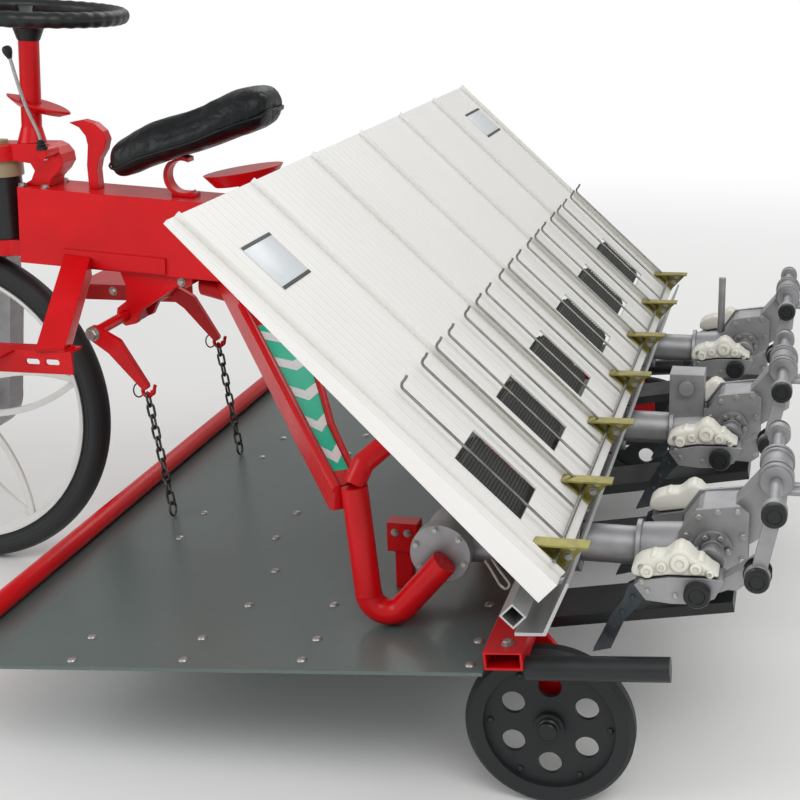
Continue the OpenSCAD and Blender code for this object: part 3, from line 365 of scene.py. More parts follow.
def cut_plate(bm, outline, thick, seat=Matrix(), edge=0.0):
    """A flat plate drawn in the seat's xy, thick along its z, with its edges rounded."""
    plate = bmesh.new()
    ring = [plate.verts.new((x, y, 0)) for x, y in outline]
    face = plate.faces.new(ring)
    raised = bmesh.ops.extrude_face_region(plate, geom=[face])["geom"]
    far_face = [v for v in raised if isinstance(v, bmesh.types.BMVert)]
    bmesh.ops.translate(plate, vec=(0, 0, thick), verts=far_face)
    bmesh.ops.recalc_face_normals(plate, faces=plate.faces)
    if edge:
        sharp = [e for e in plate.edges if len(e.link_faces) == 2 and e.calc_face_angle() > 0.5]
        bmesh.ops.bevel(plate, geom=sharp, offset=edge, segments=2, profile=0.5, affect="EDGES",
                        clamp_overlap=True)
    plate.transform(seat)
    moved = {v: bm.verts.new(v.co) for v in plate.verts}
    for face in plate.faces:
        bm.faces.new([moved[v] for v in face.verts])
    plate.free()


axle_x = 0.665
column = Matrix.Translation((axle_x - 0.251, 0, 0.9453)) @ Matrix.Rotation(math.radians(-4.3), 4, "Y")
wheel_seat = column @ Matrix.Translation((0, 0, 0.2063))
wheel_radius = 0.186
grip_thick = 0.0152
grip_rise = 0.054
waves = 40
bm = bmesh.new()
grip_steps = 5 * waves
grip_run = []
grip_radii = []
for step in range(grip_steps):
    angle = 2 * math.pi * step / grip_steps
    wave = math.cos(waves * angle)
    reach = wheel_radius + 0.0004 * wave
    grip_run.append(wheel_seat @ Vector((reach * math.cos(angle), reach * math.sin(angle), grip_rise)))
    grip_radii.append(grip_thick + 0.0006 * wave)
sweep(bm, grip_run, grip_radii, 16, closed=True)
spoke_outline = [(0.028, -0.022), (0.060, -0.016), (0.120, -0.013), (0.165, -0.016), (0.184, -0.024),
                 (0.184, 0.024), (0.165, 0.016), (0.120, 0.013), (0.060, 0.016), (0.028, 0.022)]
for k in range(3):
    spoke = wheel_seat @ Matrix.Rotation(math.radians(60 + 120 * k), 4, "Z")
    spoke = spoke @ Matrix.Translation((0, 0, 0.0245)) @ Matrix.Rotation(math.radians(-8.4), 4, "Y")
    cut_plate(bm, spoke_outline, 0.008, spoke, 0.0025)
turn(bm, [(0, 0), (0.0225, 0), (0.0235, 0.002), (0.0315, 0.024), (0.044, 0.027), (0.0475, 0.030),
          (0.0475, 0.034), (0.044, 0.037), (0.030, 0.039), (0.028, 0.043), (0.024, 0.045), (0, 0.0455)],
     wheel_seat, 40)
hand_wheel = set_up("hand_wheel", bm, black_moulding, "hand_wheel")
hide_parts("steering_wheel")

# Gear lever: a bent zinc-plated rod out of a rubber boot beside the column, with an egg knob
lever_foot = Vector((0.352, 0.076, 0.9443))
lever_tip = Vector((0.389, 0.098, 1.122))
bm = bmesh.new()
lever_middle = (lever_foot + lever_tip) / 2 + Vector((0.003, 0.001, 0))
sweep(bm, bend([lever_foot, lever_foot + Vector((0.004, 0.002, 0.030)), lever_middle, lever_tip,
                lever_tip + Vector((0.0008, 0.0005, 0.010))]), 0.0036, 12)
gear_rod = set_up("gear_rod", bm, bright_zinc, "chassis")
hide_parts("gear_lever")
bm = bmesh.new()
turn(bm, [(0, 0), (0.0048, 0), (0.0056, 0.003), (0.0088, 0.010), (0.0100, 0.016), (0.0092, 0.021),
          (0.0060, 0.0245), (0, 0.0255)], seat_at(lever_tip, lever_tip - lever_foot), 24)
turn(bm, [(0, -0.004), (0.0115, -0.004), (0.0118, 0.001), (0.0092, 0.003), (0.0105, 0.006), (0.0078, 0.009),
          (0.0088, 0.012), (0.0052, 0.016), (0, 0.016)], seat_at(lever_foot, (0.1, 0.05, 1)), 24)
set_up("gear_knob_and_boot", bm, black_moulding, "chassis")

# Saddle: a long foam pad rising to the rear, under black vinyl pulled over a board, on a bent
# steel strap behind and close to a red horn-shaped hook in front.

dress(red_enamel, "saddle_brackets", "step_plate")

# PVC leathercloth, embossed: near black with a soft shine, a fine leather grain and slack creases
seat_vinyl, tree = blank_finish("embossed_black_vinyl")
leather_pore = 0.0022
crease_run = 0.035
vinyl_place = add(tree, "TexCoord").outputs["Object"]
vinyl_pore = add(tree, "TexVoronoi", {"Vector": vinyl_place, "Scale": 1 / leather_pore},
                 feature="F1").outputs["Distance"]
vinyl_crease = add(tree, "TexNoise", {"Vector": vinyl_place, "Scale": 1 / crease_run, "Detail": 5.0,
                                     "Roughness": 0.6, "Distortion": 1.2}).outputs[0]
vinyl_colour = add(tree, "Mix", {0: vinyl_crease, 6: linear("#090c0d"), 7: linear("#13181a")},
                   data_type="RGBA").outputs[2]
vinyl_gloss = add(tree, "MapRange", {"Value": vinyl_crease, "From Min": 0.3, "From Max": 0.7,
                                   "To Min": 0.3, "To Max": 0.52}).outputs[0]
vinyl_grain = add(tree, "Bump", {"Height": vinyl_pore, "Strength": 0.2, "Distance": 0.0004}).outputs[0]
seal(tree, {"Base Color": vinyl_colour, "Roughness": vinyl_gloss, "IOR": 1.52, "Specular IOR Level": 0.28,
            "Normal": vinyl_grain}, height=vinyl_crease, strength=0.55, depth=0.004)

# Section: x, lowest z, highest z, half width
saddle_sections = [
    (0.2230, 0.903, 0.928, 0.034), (0.2170, 0.889, 0.945, 0.056), (0.2030, 0.879, 0.954, 0.068),
    (0.1800, 0.884, 0.965, 0.074), (0.1450, 0.899, 0.980, 0.079), (0.1050, 0.911, 0.992, 0.081),
    (0.0600, 0.924, 1.003, 0.083), (0.0150, 0.937, 1.019, 0.083), (-0.0300, 0.953, 1.040, 0.082),
    (-0.0650, 0.965, 1.054, 0.080), (-0.0950, 0.976, 1.058, 0.075), (-0.1120, 0.986, 1.054, 0.066),
    (-0.1220, 1.004, 1.040, 0.046)]
pad_corner = 3.0
crown_corner = 2.3
pad_sides = 28
bm = bmesh.new()
pad_rings = []
seam_line = []
for x, low, high, half in saddle_sections:
    ring = []
    for k in range(pad_sides):
        angle = 2 * math.pi * k / pad_sides
        c, s = math.cos(angle), math.sin(angle)
        y = half * math.copysign(abs(c) ** (2 / pad_corner), c)
        power = 2 / (pad_corner if s < 0 else crown_corner)
        z = (low + high) / 2 + (high - low) / 2 * math.copysign(abs(s) ** power, s)
        ring.append(bm.verts.new((x, y, z)))
    pad_rings.append(ring)
    seam_line.append((x, half * 0.985, low + (high - low) * 0.30))
for low_ring, high_ring in zip(pad_rings, pad_rings[1:]):
    for k in range(pad_sides):
        after = (k + 1) % pad_sides
        bm.faces.new([low_ring[k], low_ring[after], high_ring[after], high_ring[k]])
bm.faces.new(pad_rings[0])
bm.faces.new(pad_rings[-1])
saddle_pad = set_up("saddle_pad", bm, seat_vinyl, "chassis", 60)
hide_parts("saddle")


def bake(part):
    """Applies a piece's modifiers to its mesh."""
    seen = part.evaluated_get(bpy.context.evaluated_depsgraph_get())
    mesh = bpy.data.meshes.new_from_object(seen)
    part.modifiers.clear()
    part.data = mesh


def round_over(part, levels):
    """Subdivides a piece and shades it smooth."""
    layer = part.modifiers.new("round_over", "SUBSURF")
    layer.levels = layer.render_levels = levels
    bake(part)
    part.data.shade_smooth()


remesh = saddle_pad.modifiers.new("even_mesh", "REMESH")
remesh.mode = "VOXEL"
remesh.voxel_size = 0.005
bake(saddle_pad)
swell_cap = 0.006
still = [v.co.copy() for v in saddle_pad.data.vertices]
board = saddle_pad.vertex_groups.new(name="board")
board.add([v.index for v in saddle_pad.data.vertices if v.normal.z < -0.75], 1.0, "REPLACE")
foam = saddle_pad.modifiers.new("foam", "CLOTH")
foam.settings.effector_weights.gravity = 0
for setting, value in {"quality": 6, "mass": 0.3, "tension_stiffness": 18, "compression_stiffness": 18,
                       "bending_stiffness": 0.4, "use_pressure": True, "uniform_pressure_force": 4.0,
                       "vertex_group_mass": "board"}.items():
    setattr(foam.settings, setting, value)
foam_steps = 20
foam.point_cache.frame_start = 1
foam.point_cache.frame_end = foam_steps
for step in range(1, foam_steps + 1):
    bpy.context.scene.frame_set(step)
bake(saddle_pad)
for v, from_place in zip(saddle_pad.data.vertices, still):
    push = v.co - from_place
    if push.length > swell_cap:
        push *= swell_cap / push.length
    v.co = from_place + push
bpy.context.scene.frame_set(1)
# Slack creases across the pad, deepest along its sides
slack_deep = 0.0022
for v in saddle_pad.data.vertices:
    slack = 0.4 + 0.6 * min(1, abs(v.co.y) / 0.08)
    wave = noise.noise(Vector((v.co.x * 42, v.co.y * 9, v.co.z * 16)))
    v.co += v.normal * (slack_deep * slack * wave)
round_over(saddle_pad, 1)

bm = bmesh.new()
far_side = [(x, -y, z) for x, y, z in reversed(seam_line)]
nose_x, nose_y, nose_z = seam_line[0]
tail_x, tail_y, tail_z = seam_line[-1]
tail_turn = [(tail_x - 0.006, way * tail_y * 0.4, tail_z) for way in (1, -1)]
nose_turn = [(nose_x + 0.006, way * nose_y * 0.4, nose_z) for way in (-1, 1)]
seam_loop = bend(seam_line + tail_turn + far_side + nose_turn + [seam_line[0]], 4)[:-1]
seam_loop = [(x, y * 1.03, z) for x, y, z in seam_loop]
sweep(bm, seam_loop, 0.0024, 8, closed=True)
set_up("saddle_piping", bm, seat_vinyl, "chassis")

# Footrests: a square strut welded to a pad on each side of the beam, with a folded angle along its
# foot, bolted through two slots to the foot boards.

dress(red_enamel, "footrests")
bm = bmesh.new()
weld_line = []
for x, y in [(0.227, 0.262), (0.283, 0.262), (0.283, 0.299), (0.227, 0.299), (0.227, 0.262)]:
    weld_line.append(Vector((x, y, 0.5845)))
for side in (-1, 1):
    run = []
    for a, b in zip(weld_line, weld_line[1:]):
        for step in range(9):
            place = a.lerp(b, step / 9)
            run.append((place.x, place.y * side, place.z + 0.0008 * math.sin(step * 2.1)))
    sweep(bm, run, [0.0026 + 0.0006 * random.random() for place in run], 8, closed=True)
set_up("strut_welds", bm, red_enamel, "chassis")

# Lift linkage: a welded bracket under the beam, a cross shaft with a flat lever on each end held
# by a nut, and from each lever's hook a chain of welded round links with a ring at its end.

dress(red_enamel, "lift_bracket", "lift_levers", "drive_shaft")
lift_pin = Vector((0.217, 0.197, 0.593))
bm = bmesh.new()
for side in (-1, 1):
    hex_bolt(bm, (lift_pin.x, side * lift_pin.y, lift_pin.z), (0, side, 0), 0.024)
    hex_bolt(bm, (lift_pin.x + 0.022, side * 0.048, lift_pin.z + 0.052), (0, side, 0), 0.014)
    hex_bolt(bm, (0.085, side * 0.048, 0.668), (0, side, 0), 0.014)
set_up("lift_nuts", bm, bright_zinc, "chassis")

# Chain steel, dipped in zinc after welding and weathered: dark dull grey with paler patches
dip_patch = 0.009
dipped_chain = clouded("dipped_chain_steel", dip_patch, ("#3c403e", "#6f736f"), (0.34, 0.6),
                       {"Metallic": 0.85}, tone=(0.35, 0.65, 1.0))

link_wide, link_long, link_wire = 0.019, 0.034, 0.0026
link_step = link_long - 4 * link_wire - 0.0002
link_count = 10
chain_ring = 0.0145
chain_lean = math.radians(8)
bm = bmesh.new()
prongs = bmesh.new()
for side in (-1, 1):
    hang = Matrix.Translation((0.113, side * 0.19, 0.466)) @ Matrix.Rotation(chain_lean, 4, "Y")
    for i in range(link_count):
        flat = Matrix.Rotation(math.radians(90 if i % 2 == 0 else 0), 4, "Z")
        seat = hang @ Matrix.Translation((0, 0, -0.0074 - i * link_step)) @ flat
        half = link_wide / 2 - link_wire
        reach = link_long / 2 - link_wide / 2
        oval = [seat @ Vector((x, 0, z + (reach if z >= 0 else -reach))) for x, z in circle(half, 20)]
        sweep(bm, oval, link_wire, 8, closed=True)
    ring_drop = 0.0074 + link_count * link_step - link_long / 2 + chain_ring + link_wire
    ring_seat = hang @ Matrix.Translation((0, 0, -ring_drop)) @ Matrix.Rotation(math.radians(90), 4, "Z")
    sweep(bm, [ring_seat @ Vector((x, 0, z)) for x, z in circle(chain_ring, 24)], link_wire, 8, closed=True)
    # Prong welded on the lever's end, bent up behind the chain's first link
    sweep(prongs, bend([(0.116, side * 0.19, 0.4735), (0.107, side * 0.19, 0.4700),
                        (0.1000, side * 0.19, 0.4730), (0.0975, side * 0.19, 0.4835),
                        (0.0955, side * 0.19, 0.4900)], 5), 0.0036, 10)
    # Spare ring through the lever's end
    sweep(bm, [(0.132 + 0.0085 * c, side * 0.19 + 0.006 * c, 0.478 + 0.0145 * s) for c, s in circle(1, 24)],
          0.0016, 8, closed=True)
chains = set_up("lift_chain_pair", bm, dipped_chain, "chassis", 60)
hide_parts("lift_chains")
set_up("hook_prongs", prongs, red_enamel, "chassis")

# Rear arms: pressed from thick sheet and welded, deep at the beam and narrow at the hoop, with a
# sunk field on top where green and white reflective film is laid as arrowheads.

dress(red_enamel, "rear_arms")
arm_root = Vector((-0.053, 0.040, 0.700))
arm_tip = Vector((-0.475, 0.664, 0.498))
arm_along = (arm_tip - arm_root).normalized()
arm_rear = Vector((-arm_along.y, arm_along.x, 0)).normalized()
arm_down = arm_rear.cross(arm_along).normalized()
field_floor = 0.004


def on_arm(along, rear, down, side):
    """A place on an arm, from its length, its width to the rear and its depth."""
    place = arm_root + arm_along * along + arm_rear * rear + arm_down * down
    return (place.x, place.y * side, place.z)


# Retro-reflective film: clear glossy polyester over a fine honeycomb of sealed cells. The cells
# are drawn 2.4 mm wide to show; they make the colour flicker a little.
film_finishes = []
for film_name, film_light, film_dark in [("green_reflective_film", "#00d8ac", "#00c49a"),
                                         ("white_reflective_film", "#ffffff", "#e8efed")]:
    film, tree = blank_finish(film_name)
    cell = 0.0024
    film_place = add(tree, "TexCoord").outputs["Object"]
    film_cells = add(tree, "TexVoronoi", {"Vector": film_place, "Scale": 1 / cell},
                     feature="DISTANCE_TO_EDGE").outputs["Distance"]
    film_net = add(tree, "MapRange", {"Value": film_cells, "From Min": 0.02, "From Max": 0.12}).outputs[0]
    film_colour = add(tree, "Mix", {0: film_net, 6: linear(film_dark), 7: linear(film_light)},
                      data_type="RGBA").outputs[2]
    seal(tree, {"Base Color": film_colour, "Roughness": 0.3, "IOR": 1.58, "Specular IOR Level": 0.15})
    film_finishes.append(film)
green_film, white_film = film_finishes

# Place along the arm, front edge, rear edge
film_edges = [(0.235, -0.034, 0.036), (0.300, -0.034, 0.031), (0.397, -0.034, 0.0225),
              (0.506, -0.034, 0.0085), (0.602, -0.035, -0.0055), (0.705, -0.035, -0.0090),
              (0.738, -0.035, -0.0100)]


def film_edge(along, which):
    """Where the film's front or rear edge lies at a place along the arm."""
    for low, high in zip(film_edges, film_edges[1:]):
        if along <= high[0]:
            part = (along - low[0]) / (high[0] - low[0])
            return low[which] + (high[which] - low[which]) * part
    return film_edges[-1][which]


bm = bmesh.new()
for side in (-1, 1):
    front = [bm.verts.new(on_arm(a, f, field_floor - 0.0004, side)) for a, f, r in film_edges]
    rear = [bm.verts.new(on_arm(a, r, field_floor - 0.0004, side)) for a, f, r in film_edges]
    for i in range(len(film_edges) - 1):
        bm.faces.new([front[i], front[i + 1], rear[i + 1], rear[i]])
set_up("green_film", bm, green_film, "chassis")
bm = bmesh.new()
arrow_tips = [0.312, 0.413, 0.518, 0.620, 0.717]
arrow_deep = 0.022
arrow_thick = 0.034
for side in (-1, 1):
    for tip in arrow_tips:
        head, foot = [], []
        for k in range(9):
            across = k / 8
            along = tip - arrow_deep * abs(across - 0.5) * 2
            for line, shift in ((head, 0), (foot, -arrow_thick)):
                a = along + shift
                width = film_edge(a, 1) * (1 - across) + film_edge(a, 2) * across
                line.append(bm.verts.new(on_arm(a, width, field_floor - 0.0008, side)))
        for i in range(8):
            bm.faces.new([head[i], head[i + 1], foot[i + 1], foot[i]])
set_up("white_film_arrows", bm, white_film, "chassis")

# Hoops, cross tube and slide rail: red steel tube bent cold into a hoop that lies on the boat, a
# thicker tube across the machine clamped in cast rings, and a plain aluminium rail on stays.

dress(red_enamel, "hoops", "cross_tube")

# Extruded aluminium, not anodised: pale satin with fine die lines along the bar
die_line = 0.0018
extruded_bar = clouded("extruded_aluminium", die_line, ("#b5b8b8", "#d0d2d1"), (0.32, 0.5),
                       {"Metallic": 0.9}, detail=2.0, stretch=(1.0, 0.02, 1.0))
dress(extruded_bar, "table_rail", "gate_rail", "table_beam")

ring_place = Vector((-0.601, 0.6654, 0.380))
bm = bmesh.new()
for side in (-1, 1):
    for x, z in circle(0.042, 6, 20):
        hex_bolt(bm, (ring_place.x + x, side * ring_place.y, ring_place.z + z), (0, side, 0), 0.011)
    for bolt_x in (-0.515, -0.493):
        hex_bolt(bm, (bolt_x, side * 0.548, 0.362), (0, side, 0), 0.011)
set_up("ring_bolts", bm, bright_zinc, "chassis")

# Planting cases and gearbox: sand castings bolted together, one case for two rows. Side covers
# and bearing covers are held by rings of small bolts.

# Sand-cast aluminium, shot-blasted: mid grey, a matt grain, with painted shade darkening its corners
sand_grain = 0.0022
cast_patch = 0.045
sand_cast = clouded("sand_cast_aluminium", cast_patch, ("#979799", "#b4b4b6"), (0.38, 0.58),
                    {"Metallic": 0.75}, detail=5.0, tone=(0.2, 0.8, 1.0), gloss_by_grain=True,
                    corner_shade=(0.02, 0.2, 0.8, 0.75, "#3e4040"), grain=(sand_grain, 2.0, 0.35, 0.0006),
                    edge=0.0025)
dress(sand_cast, "planting_gearbox", "planting_cases", "cranks", "planting_arms", "rockers")

row_pitch = 0.3
case_places = (-2 * row_pitch, 0, 2 * row_pitch)
# Side cover bolts: x, z
cover_bolts = [(-0.986, 0.356), (-0.986, 0.400), (-0.991, 0.434), (-1.010, 0.466), (-1.039, 0.476),
               (-1.069, 0.479), (-1.078, 0.438), (-1.078, 0.398), (-1.078, 0.364), (-1.035, 0.353)]
bm = bmesh.new()
for case_y in case_places:
    for side in (-1, 1):
        for x, z in cover_bolts:
            hex_bolt(bm, (x, case_y + side * 0.046, z), (0, side, 0), 0.0105)
        for x, z in circle(0.024, 6):
            hex_bolt(bm, (-1.033 + x, case_y + side * 0.062, 0.418 + z), (0, side, 0), 0.0085)
    for y, z in circle(0.0365, 8, 22.5):
        hex_bolt(bm, (-0.823, case_y + y, 0.385 + z), (1, 0, 0), 0.009)
set_up("case_bolts", bm, bright_zinc, "chassis")

# Planting units: on each end of a case a cast arm swings on a crank and a rocker, with a cream
# plastic cover over its pusher and a forked steel claw. Round black caps close the bearings.

unit_sides = [(case_y, side) for case_y in case_places for side in (-1, 1)]

# Polypropylene, injection moulded in cream: a soft waxy look, with painted shade darkening its hollows
cream_patch = 0.03
cream_moulding = clouded("moulded_cream_plastic", cream_patch, ("#e6e3d6", "#f3f1e8"), 0.42,
                         {"IOR": 1.49, "Subsurface Weight": 0.08, "Subsurface Radius": (0.004, 0.003, 0.002)},
                         corner_shade=(0.012, 0.3, 0.9, 0.8, "#8d8872"))

pusher_cover = [(-0.936, 0.4065), (-0.975, 0.4135), (-1.035, 0.4155), (-1.048, 0.4145), (-1.047, 0.421),
                (-1.036, 0.427), (-1.028, 0.434), (-1.014, 0.4405), (-1.008, 0.447), (-1.001, 0.454),
                (-0.991, 0.457), (-0.982, 0.455), (-0.976, 0.449), (-0.967, 0.4415), (-0.955, 0.4405),
                (-0.944, 0.4385), (-0.930, 0.433), (-0.920, 0.424), (-0.918, 0.416), (-0.921, 0.4095)]
bm = bmesh.new()
for case_y, side in unit_sides:
    upright = Matrix(((1, 0, 0, 0), (0, 0, -side, 0), (0, 1, 0, 0), (0, 0, 0, 1)))
    lie = Matrix.Translation((0, case_y + side * 0.157, 0)) @ upright
    cut_plate(bm, pusher_cover, 0.044, lie, 0.0035)
    # Bosses moulded on its side: x, z, radius, height
    for x, z, radius, high in [(-0.990, 0.4340, 0.0150, 0.0050), (-0.9635, 0.4265, 0.0085, 0.0042),
                               (-1.0140, 0.4270, 0.0095, 0.0046), (-0.9420, 0.4180, 0.0110, 0.0040),
                               (-1.0350, 0.4200, 0.0065, 0.0034)]:
        turn(bm, [(0, -0.001), (radius, -0.001), (radius * 0.94, high * 0.72), (radius * 0.8, high),
                  (radius * 0.5, high), (radius * 0.44, high * 0.6), (0, high * 0.6)],
             seat_at((x, case_y + side * 0.1568, z), (0, side, 0)), 22)
    # Lobes along its top: x, z, radius, how far they reach across
    for x, z, radius, reach in [(-0.9905, 0.4485, 0.0092, 0.0205), (-0.9515, 0.4340, 0.0078, 0.0190),
                                (-1.0195, 0.4335, 0.0072, 0.0185)]:
        turn(bm, [(0, -reach), (radius * 0.85, -reach), (radius, -reach + 0.002), (radius, reach - 0.002),
                  (radius * 0.85, reach), (0, reach)],
             seat_at((x, case_y + side * 0.1345, z), (0, side, 0)), 20)
covers = set_up("pusher_covers", bm, cream_moulding, "chassis", 50)
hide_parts("arm_covers")

bm = bmesh.new()
for case_y, side in unit_sides:
    for x, z in ((-0.933, 0.424), (-1.032, 0.4205)):
        hex_bolt(bm, (x, case_y + side * 0.157, z), (0, side, 0), 0.0075)
    for x, z in ((-0.944, 0.388), (-0.985, 0.383), (-0.935, 0.402)):
        hex_bolt(bm, (x, case_y + side * 0.160, z), (0, side, 0), 0.0085)
set_up("unit_bolts", bm, bright_zinc, "chassis")

bm = bmesh.new()
for case_y, side in unit_sides:
    for x, z, y, radius in [(-1.124, 0.533, 0.184, 0.0185), (-1.104, 0.430, 0.184, 0.0185),
                            (-1.018, 0.392, 0.166, 0.0200)]:
        turn(bm, [(0, 0), (radius, 0), (radius, 0.0105), (radius * 0.9, 0.0135), (radius * 0.62, 0.0138),
                  (radius * 0.56, 0.0120), (0, 0.0118)], seat_at((x, case_y + side * y, z), (0, side, 0)), 28)
    for y in (0.150, 0.1665):
        turn(bm, [(0, 0), (0.0205, 0), (0.0212, 0.0012), (0.0205, 0.0024), (0, 0.0024)],
             seat_at((-1.104, case_y + side * y, 0.430), (0, side, 0)), 28)
set_up("bearing_caps", bm, black_moulding, "chassis")

# Spring steel, hardened and oiled: dark blue-grey with bright worn edges
oil_patch = 0.012
oiled_steel = clouded("oiled_spring_steel", oil_patch, ("#32383b", "#5a6165"), (0.3, 0.55),
                      {"Metallic": 0.85}, edge=0.001)
dress(oiled_steel, "planting_claws", "belt_shafts")

claw_face = 0.152
bm = bmesh.new()
for case_y, side in unit_sides:
    for x, z in ((-0.921, 0.372), (-0.906, 0.346), (-0.894, 0.319)):
        hex_bolt(bm, (x, case_y + side * claw_face, z), (0, side, 0), 0.0080)
set_up("claw_bolts", bm, oiled_steel, "chassis")

# Boat: a flat sheet steel plate that slides on the mud, with a tube across its front, black
# tongues behind that level the soil, and rows of round-headed bolts.

dress(red_enamel, "boat_front_tube")

# Baked enamel on rolled sheet: smooth grey-green with a wide soft reflection and shallow waves, and painted
# shade darkening it in its corners and under the parts above it
rolling_wave = 0.22
splash_size = 0.018
boat_enamel = clouded("baked_grey_enamel", splash_size, ("#5c6b68", "#86938f"), (0.22, 0.42), {"IOR": 1.5},
                      detail=6.0, drift={"Roughness": 0.7}, tone=(0.55, 0.8, 0.35),
                      corner_shade=(0.12, 0.3, 0.9, 0.5, "#343f3d"), grain=(rolling_wave, 2.0, 0.4, 0.004))
dress(boat_enamel, "boat_plate")

# Black enamel over steel, dipped: even and dark, satin, dusty where it is rubbed
dip_cloud_size = 0.05
black_enamel = clouded("dipped_black_enamel", dip_cloud_size, ("#0f1112", "#24282a"), (0.3, 0.55),
                       {"IOR": 1.5}, detail=5.0, edge=0.002)
dress(black_enamel, "boat_tongues")

boat_pitch = math.tan(math.radians(4.74))


def boat_top(x):
    """Height of the boat's upper face."""
    return 0.257 + (-0.505 - x) * boat_pitch


# Bolt places on the left half: x, y
boat_bolts = [(-0.017, 0.827), (-0.211, 0.821), (-0.410, 0.816), (-0.684, 0.825), (-0.011, 0.742),
              (-0.211, 0.742), (-0.411, 0.742), (-0.680, 0.744), (-0.245, 0.614), (-0.399, 0.612),
              (-0.670, 0.610), (-0.241, 0.468), (-0.399, 0.473), (0.016, 0.306), (-0.186, 0.310),
              (0.020, 0.172), (-0.184, 0.178)]
bm = bmesh.new()
for x, y in boat_bolts:
    for side in (-1, 1):
        turn(bm, [(0.0085, 0), (0.0085, 0.0008), (0.0070, 0.0028), (0.0042, 0.0042), (0, 0.0046)],
             seat_at((x, y * side, boat_top(x) - 0.0003), (boat_pitch, 0, 1)), 18)
set_up("boat_bolt_heads", bm, bright_zinc, "chassis")

# Transport wheels: black moulded discs with six round holes and a rubber tread, each on a stub
# axle under a red bracket of box tube.

dress(red_enamel, "transport_brackets")

# Natural rubber filled with carbon black, vulcanised: near black and matt, with a dusty bloom
rubber_cloud_size = 0.03
rubber_grain = 0.0015
tyre_rubber = clouded("vulcanised_black_rubber", rubber_cloud_size, ("#0e1011", "#25282a"), (0.5, 0.75),
                      {"IOR": 1.52}, detail=5.0, grain=(rubber_grain, 2.0, 0.2, 0.0003))
dress(tyre_rubber, "transport_wheel_left", "transport_wheel_right")

small_wheel_at = Vector((-0.793, 0.741, 0.136))
for side, wheel_name in ((1, "left"), (-1, "right")):
    bm = bmesh.new()
    hub = seat_at((small_wheel_at.x, side * (small_wheel_at.y + 0.0155), small_wheel_at.z), (0, side, 0))
    turn(bm, [(0, 0.0005), (0.0180, 0.0005), (0.0180, 0.0035), (0.0150, 0.0060), (0.0150, 0.0125),
              (0.0130, 0.0145), (0, 0.0148)], hub, 28)
    for x, y in circle(0.0960, 6):
        turn(bm, [(0, 0), (0.0050, 0), (0.0050, 0.0020), (0.0032, 0.0034), (0, 0.0036)],
             hub @ Matrix.Translation((x, y, -0.0100)), 12)
    set_up("small_hub_" + wheel_name, bm, black_moulding, "small_wheel_" + wheel_name)

bm = bmesh.new()
for side in (-1, 1):
    hex_bolt(bm, (-0.7405, side * 0.815, boat_top(-0.7405) + 0.0302), (boat_pitch, 0, 1), 0.016)
set_up("bracket_bolts", bm, bright_zinc, "chassis")

# Seedling table: white enamelled sheet with dividers between six rows, ribbed rubber belts in
# its windows, steel wires that hold the mats down, and folded brackets along its lower edge.

# Stove enamel on pressed sheet: warm white, satin, with shallow ribs pressed down the slope, and painted
# shade greying its corners
table_enamel, tree = blank_finish("stoved_white_enamel")
pressed_rib = 0.025
table_patch = 0.2
table_place = add(tree, "TexCoord").outputs["Object"]
table_cloud = add(tree, "TexNoise", {"Vector": table_place, "Scale": 1 / table_patch,
                                     "Detail": 4.0}).outputs[0]
table_across = add(tree, "SeparateXYZ", {0: table_place}).outputs["Y"]
table_turns = add(tree, "Math", {0: table_across, 1: 2 * math.pi / pressed_rib},
                  operation="MULTIPLY").outputs[0]
table_waves = add(tree, "Math", {0: table_turns}, operation="SINE").outputs[0]
table_ribs = add(tree, "MapRange", {"Value": table_waves, "From Min": 0.55, "From Max": 1.0}).outputs[0]
table_body = add(tree, "Mix", {0: table_cloud, 6: linear("#f6f5f2"), 7: linear("#ecebe7")},
                 data_type="RGBA").outputs[2]
# Painted shade: the corners grey towards a warm dark tone
table_colour = shade_corners(tree, table_body, 0.02, 0.2, 0.8, 0.5, "#a39f92")
seal(tree, {"Base Color": table_colour, "Roughness": 0.38, "IOR": 1.5, "Specular IOR Level": 0.35},
     edge=0.0015, height=table_ribs, strength=0.35, depth=0.0012)
dress(table_enamel, "table_sheet")

# Zinc plate with a yellow passivation: olive gold in lighter and darker clouds
olive_patch = 0.022
olive_zinc = clouded("yellow_passivated_zinc", olive_patch, ("#857f45", "#a39a52"), (0.3, 0.5),
                     {"Metallic": 0.7}, drift={"Distortion": 0.8}, tone=(0.35, 0.65, 1.0), edge=0.001)
dress(olive_zinc, "corner_brackets")

table_tilt = math.radians(42.8)
table_head = Vector((-0.29204, 0, 0.96699))
table_down = Vector((-math.cos(table_tilt), 0, -math.sin(table_tilt)))
table_out = Vector((-math.sin(table_tilt), 0, math.cos(table_tilt)))
table_seat = Matrix((
    (table_down.x, 0, table_out.x, table_head.x),
    (0, -1, 0, 0),
    (table_down.z, 0, table_out.z, table_head.z),
    (0, 0, 0, 1)))


def on_table(down, y, out):
    """A place on the table, from its distance down the slope, its side and its height off the sheet."""
    return table_head + table_down * down + table_out * out + Vector((0, y, 0))


# Chloroprene rubber, moulded with cross ribs: dark grey, paler in dusty clouds, with painted shade darkening
# the hollows between the ribs
belt_rubber, tree = blank_finish("ribbed_belt_rubber")
belt_cloud_size = 0.012
belt_place = add(tree, "TexCoord").outputs["Object"]
belt_cloud = add(tree, "TexNoise", {"Vector": belt_place, "Scale": 1 / belt_cloud_size,
                                    "Detail": 4.0}).outputs[0]
# The colour follows dust clouds, darkened by painted shade in the hollows between the ribs
belt_near = add(tree, "AmbientOcclusion", {"Distance": 0.003}, samples=4).outputs["AO"]
belt_dust_and_shade = add(tree, "Math", {0: belt_cloud, 1: belt_near}, operation="MULTIPLY").outputs[0]
belt_colour = add(tree, "Mix", {0: belt_dust_and_shade, 6: linear("#0f1010"), 7: linear("#454441")},
                  data_type="RGBA").outputs[2]
seal(tree, {"Base Color": belt_colour, "Roughness": 0.62, "IOR": 1.52})

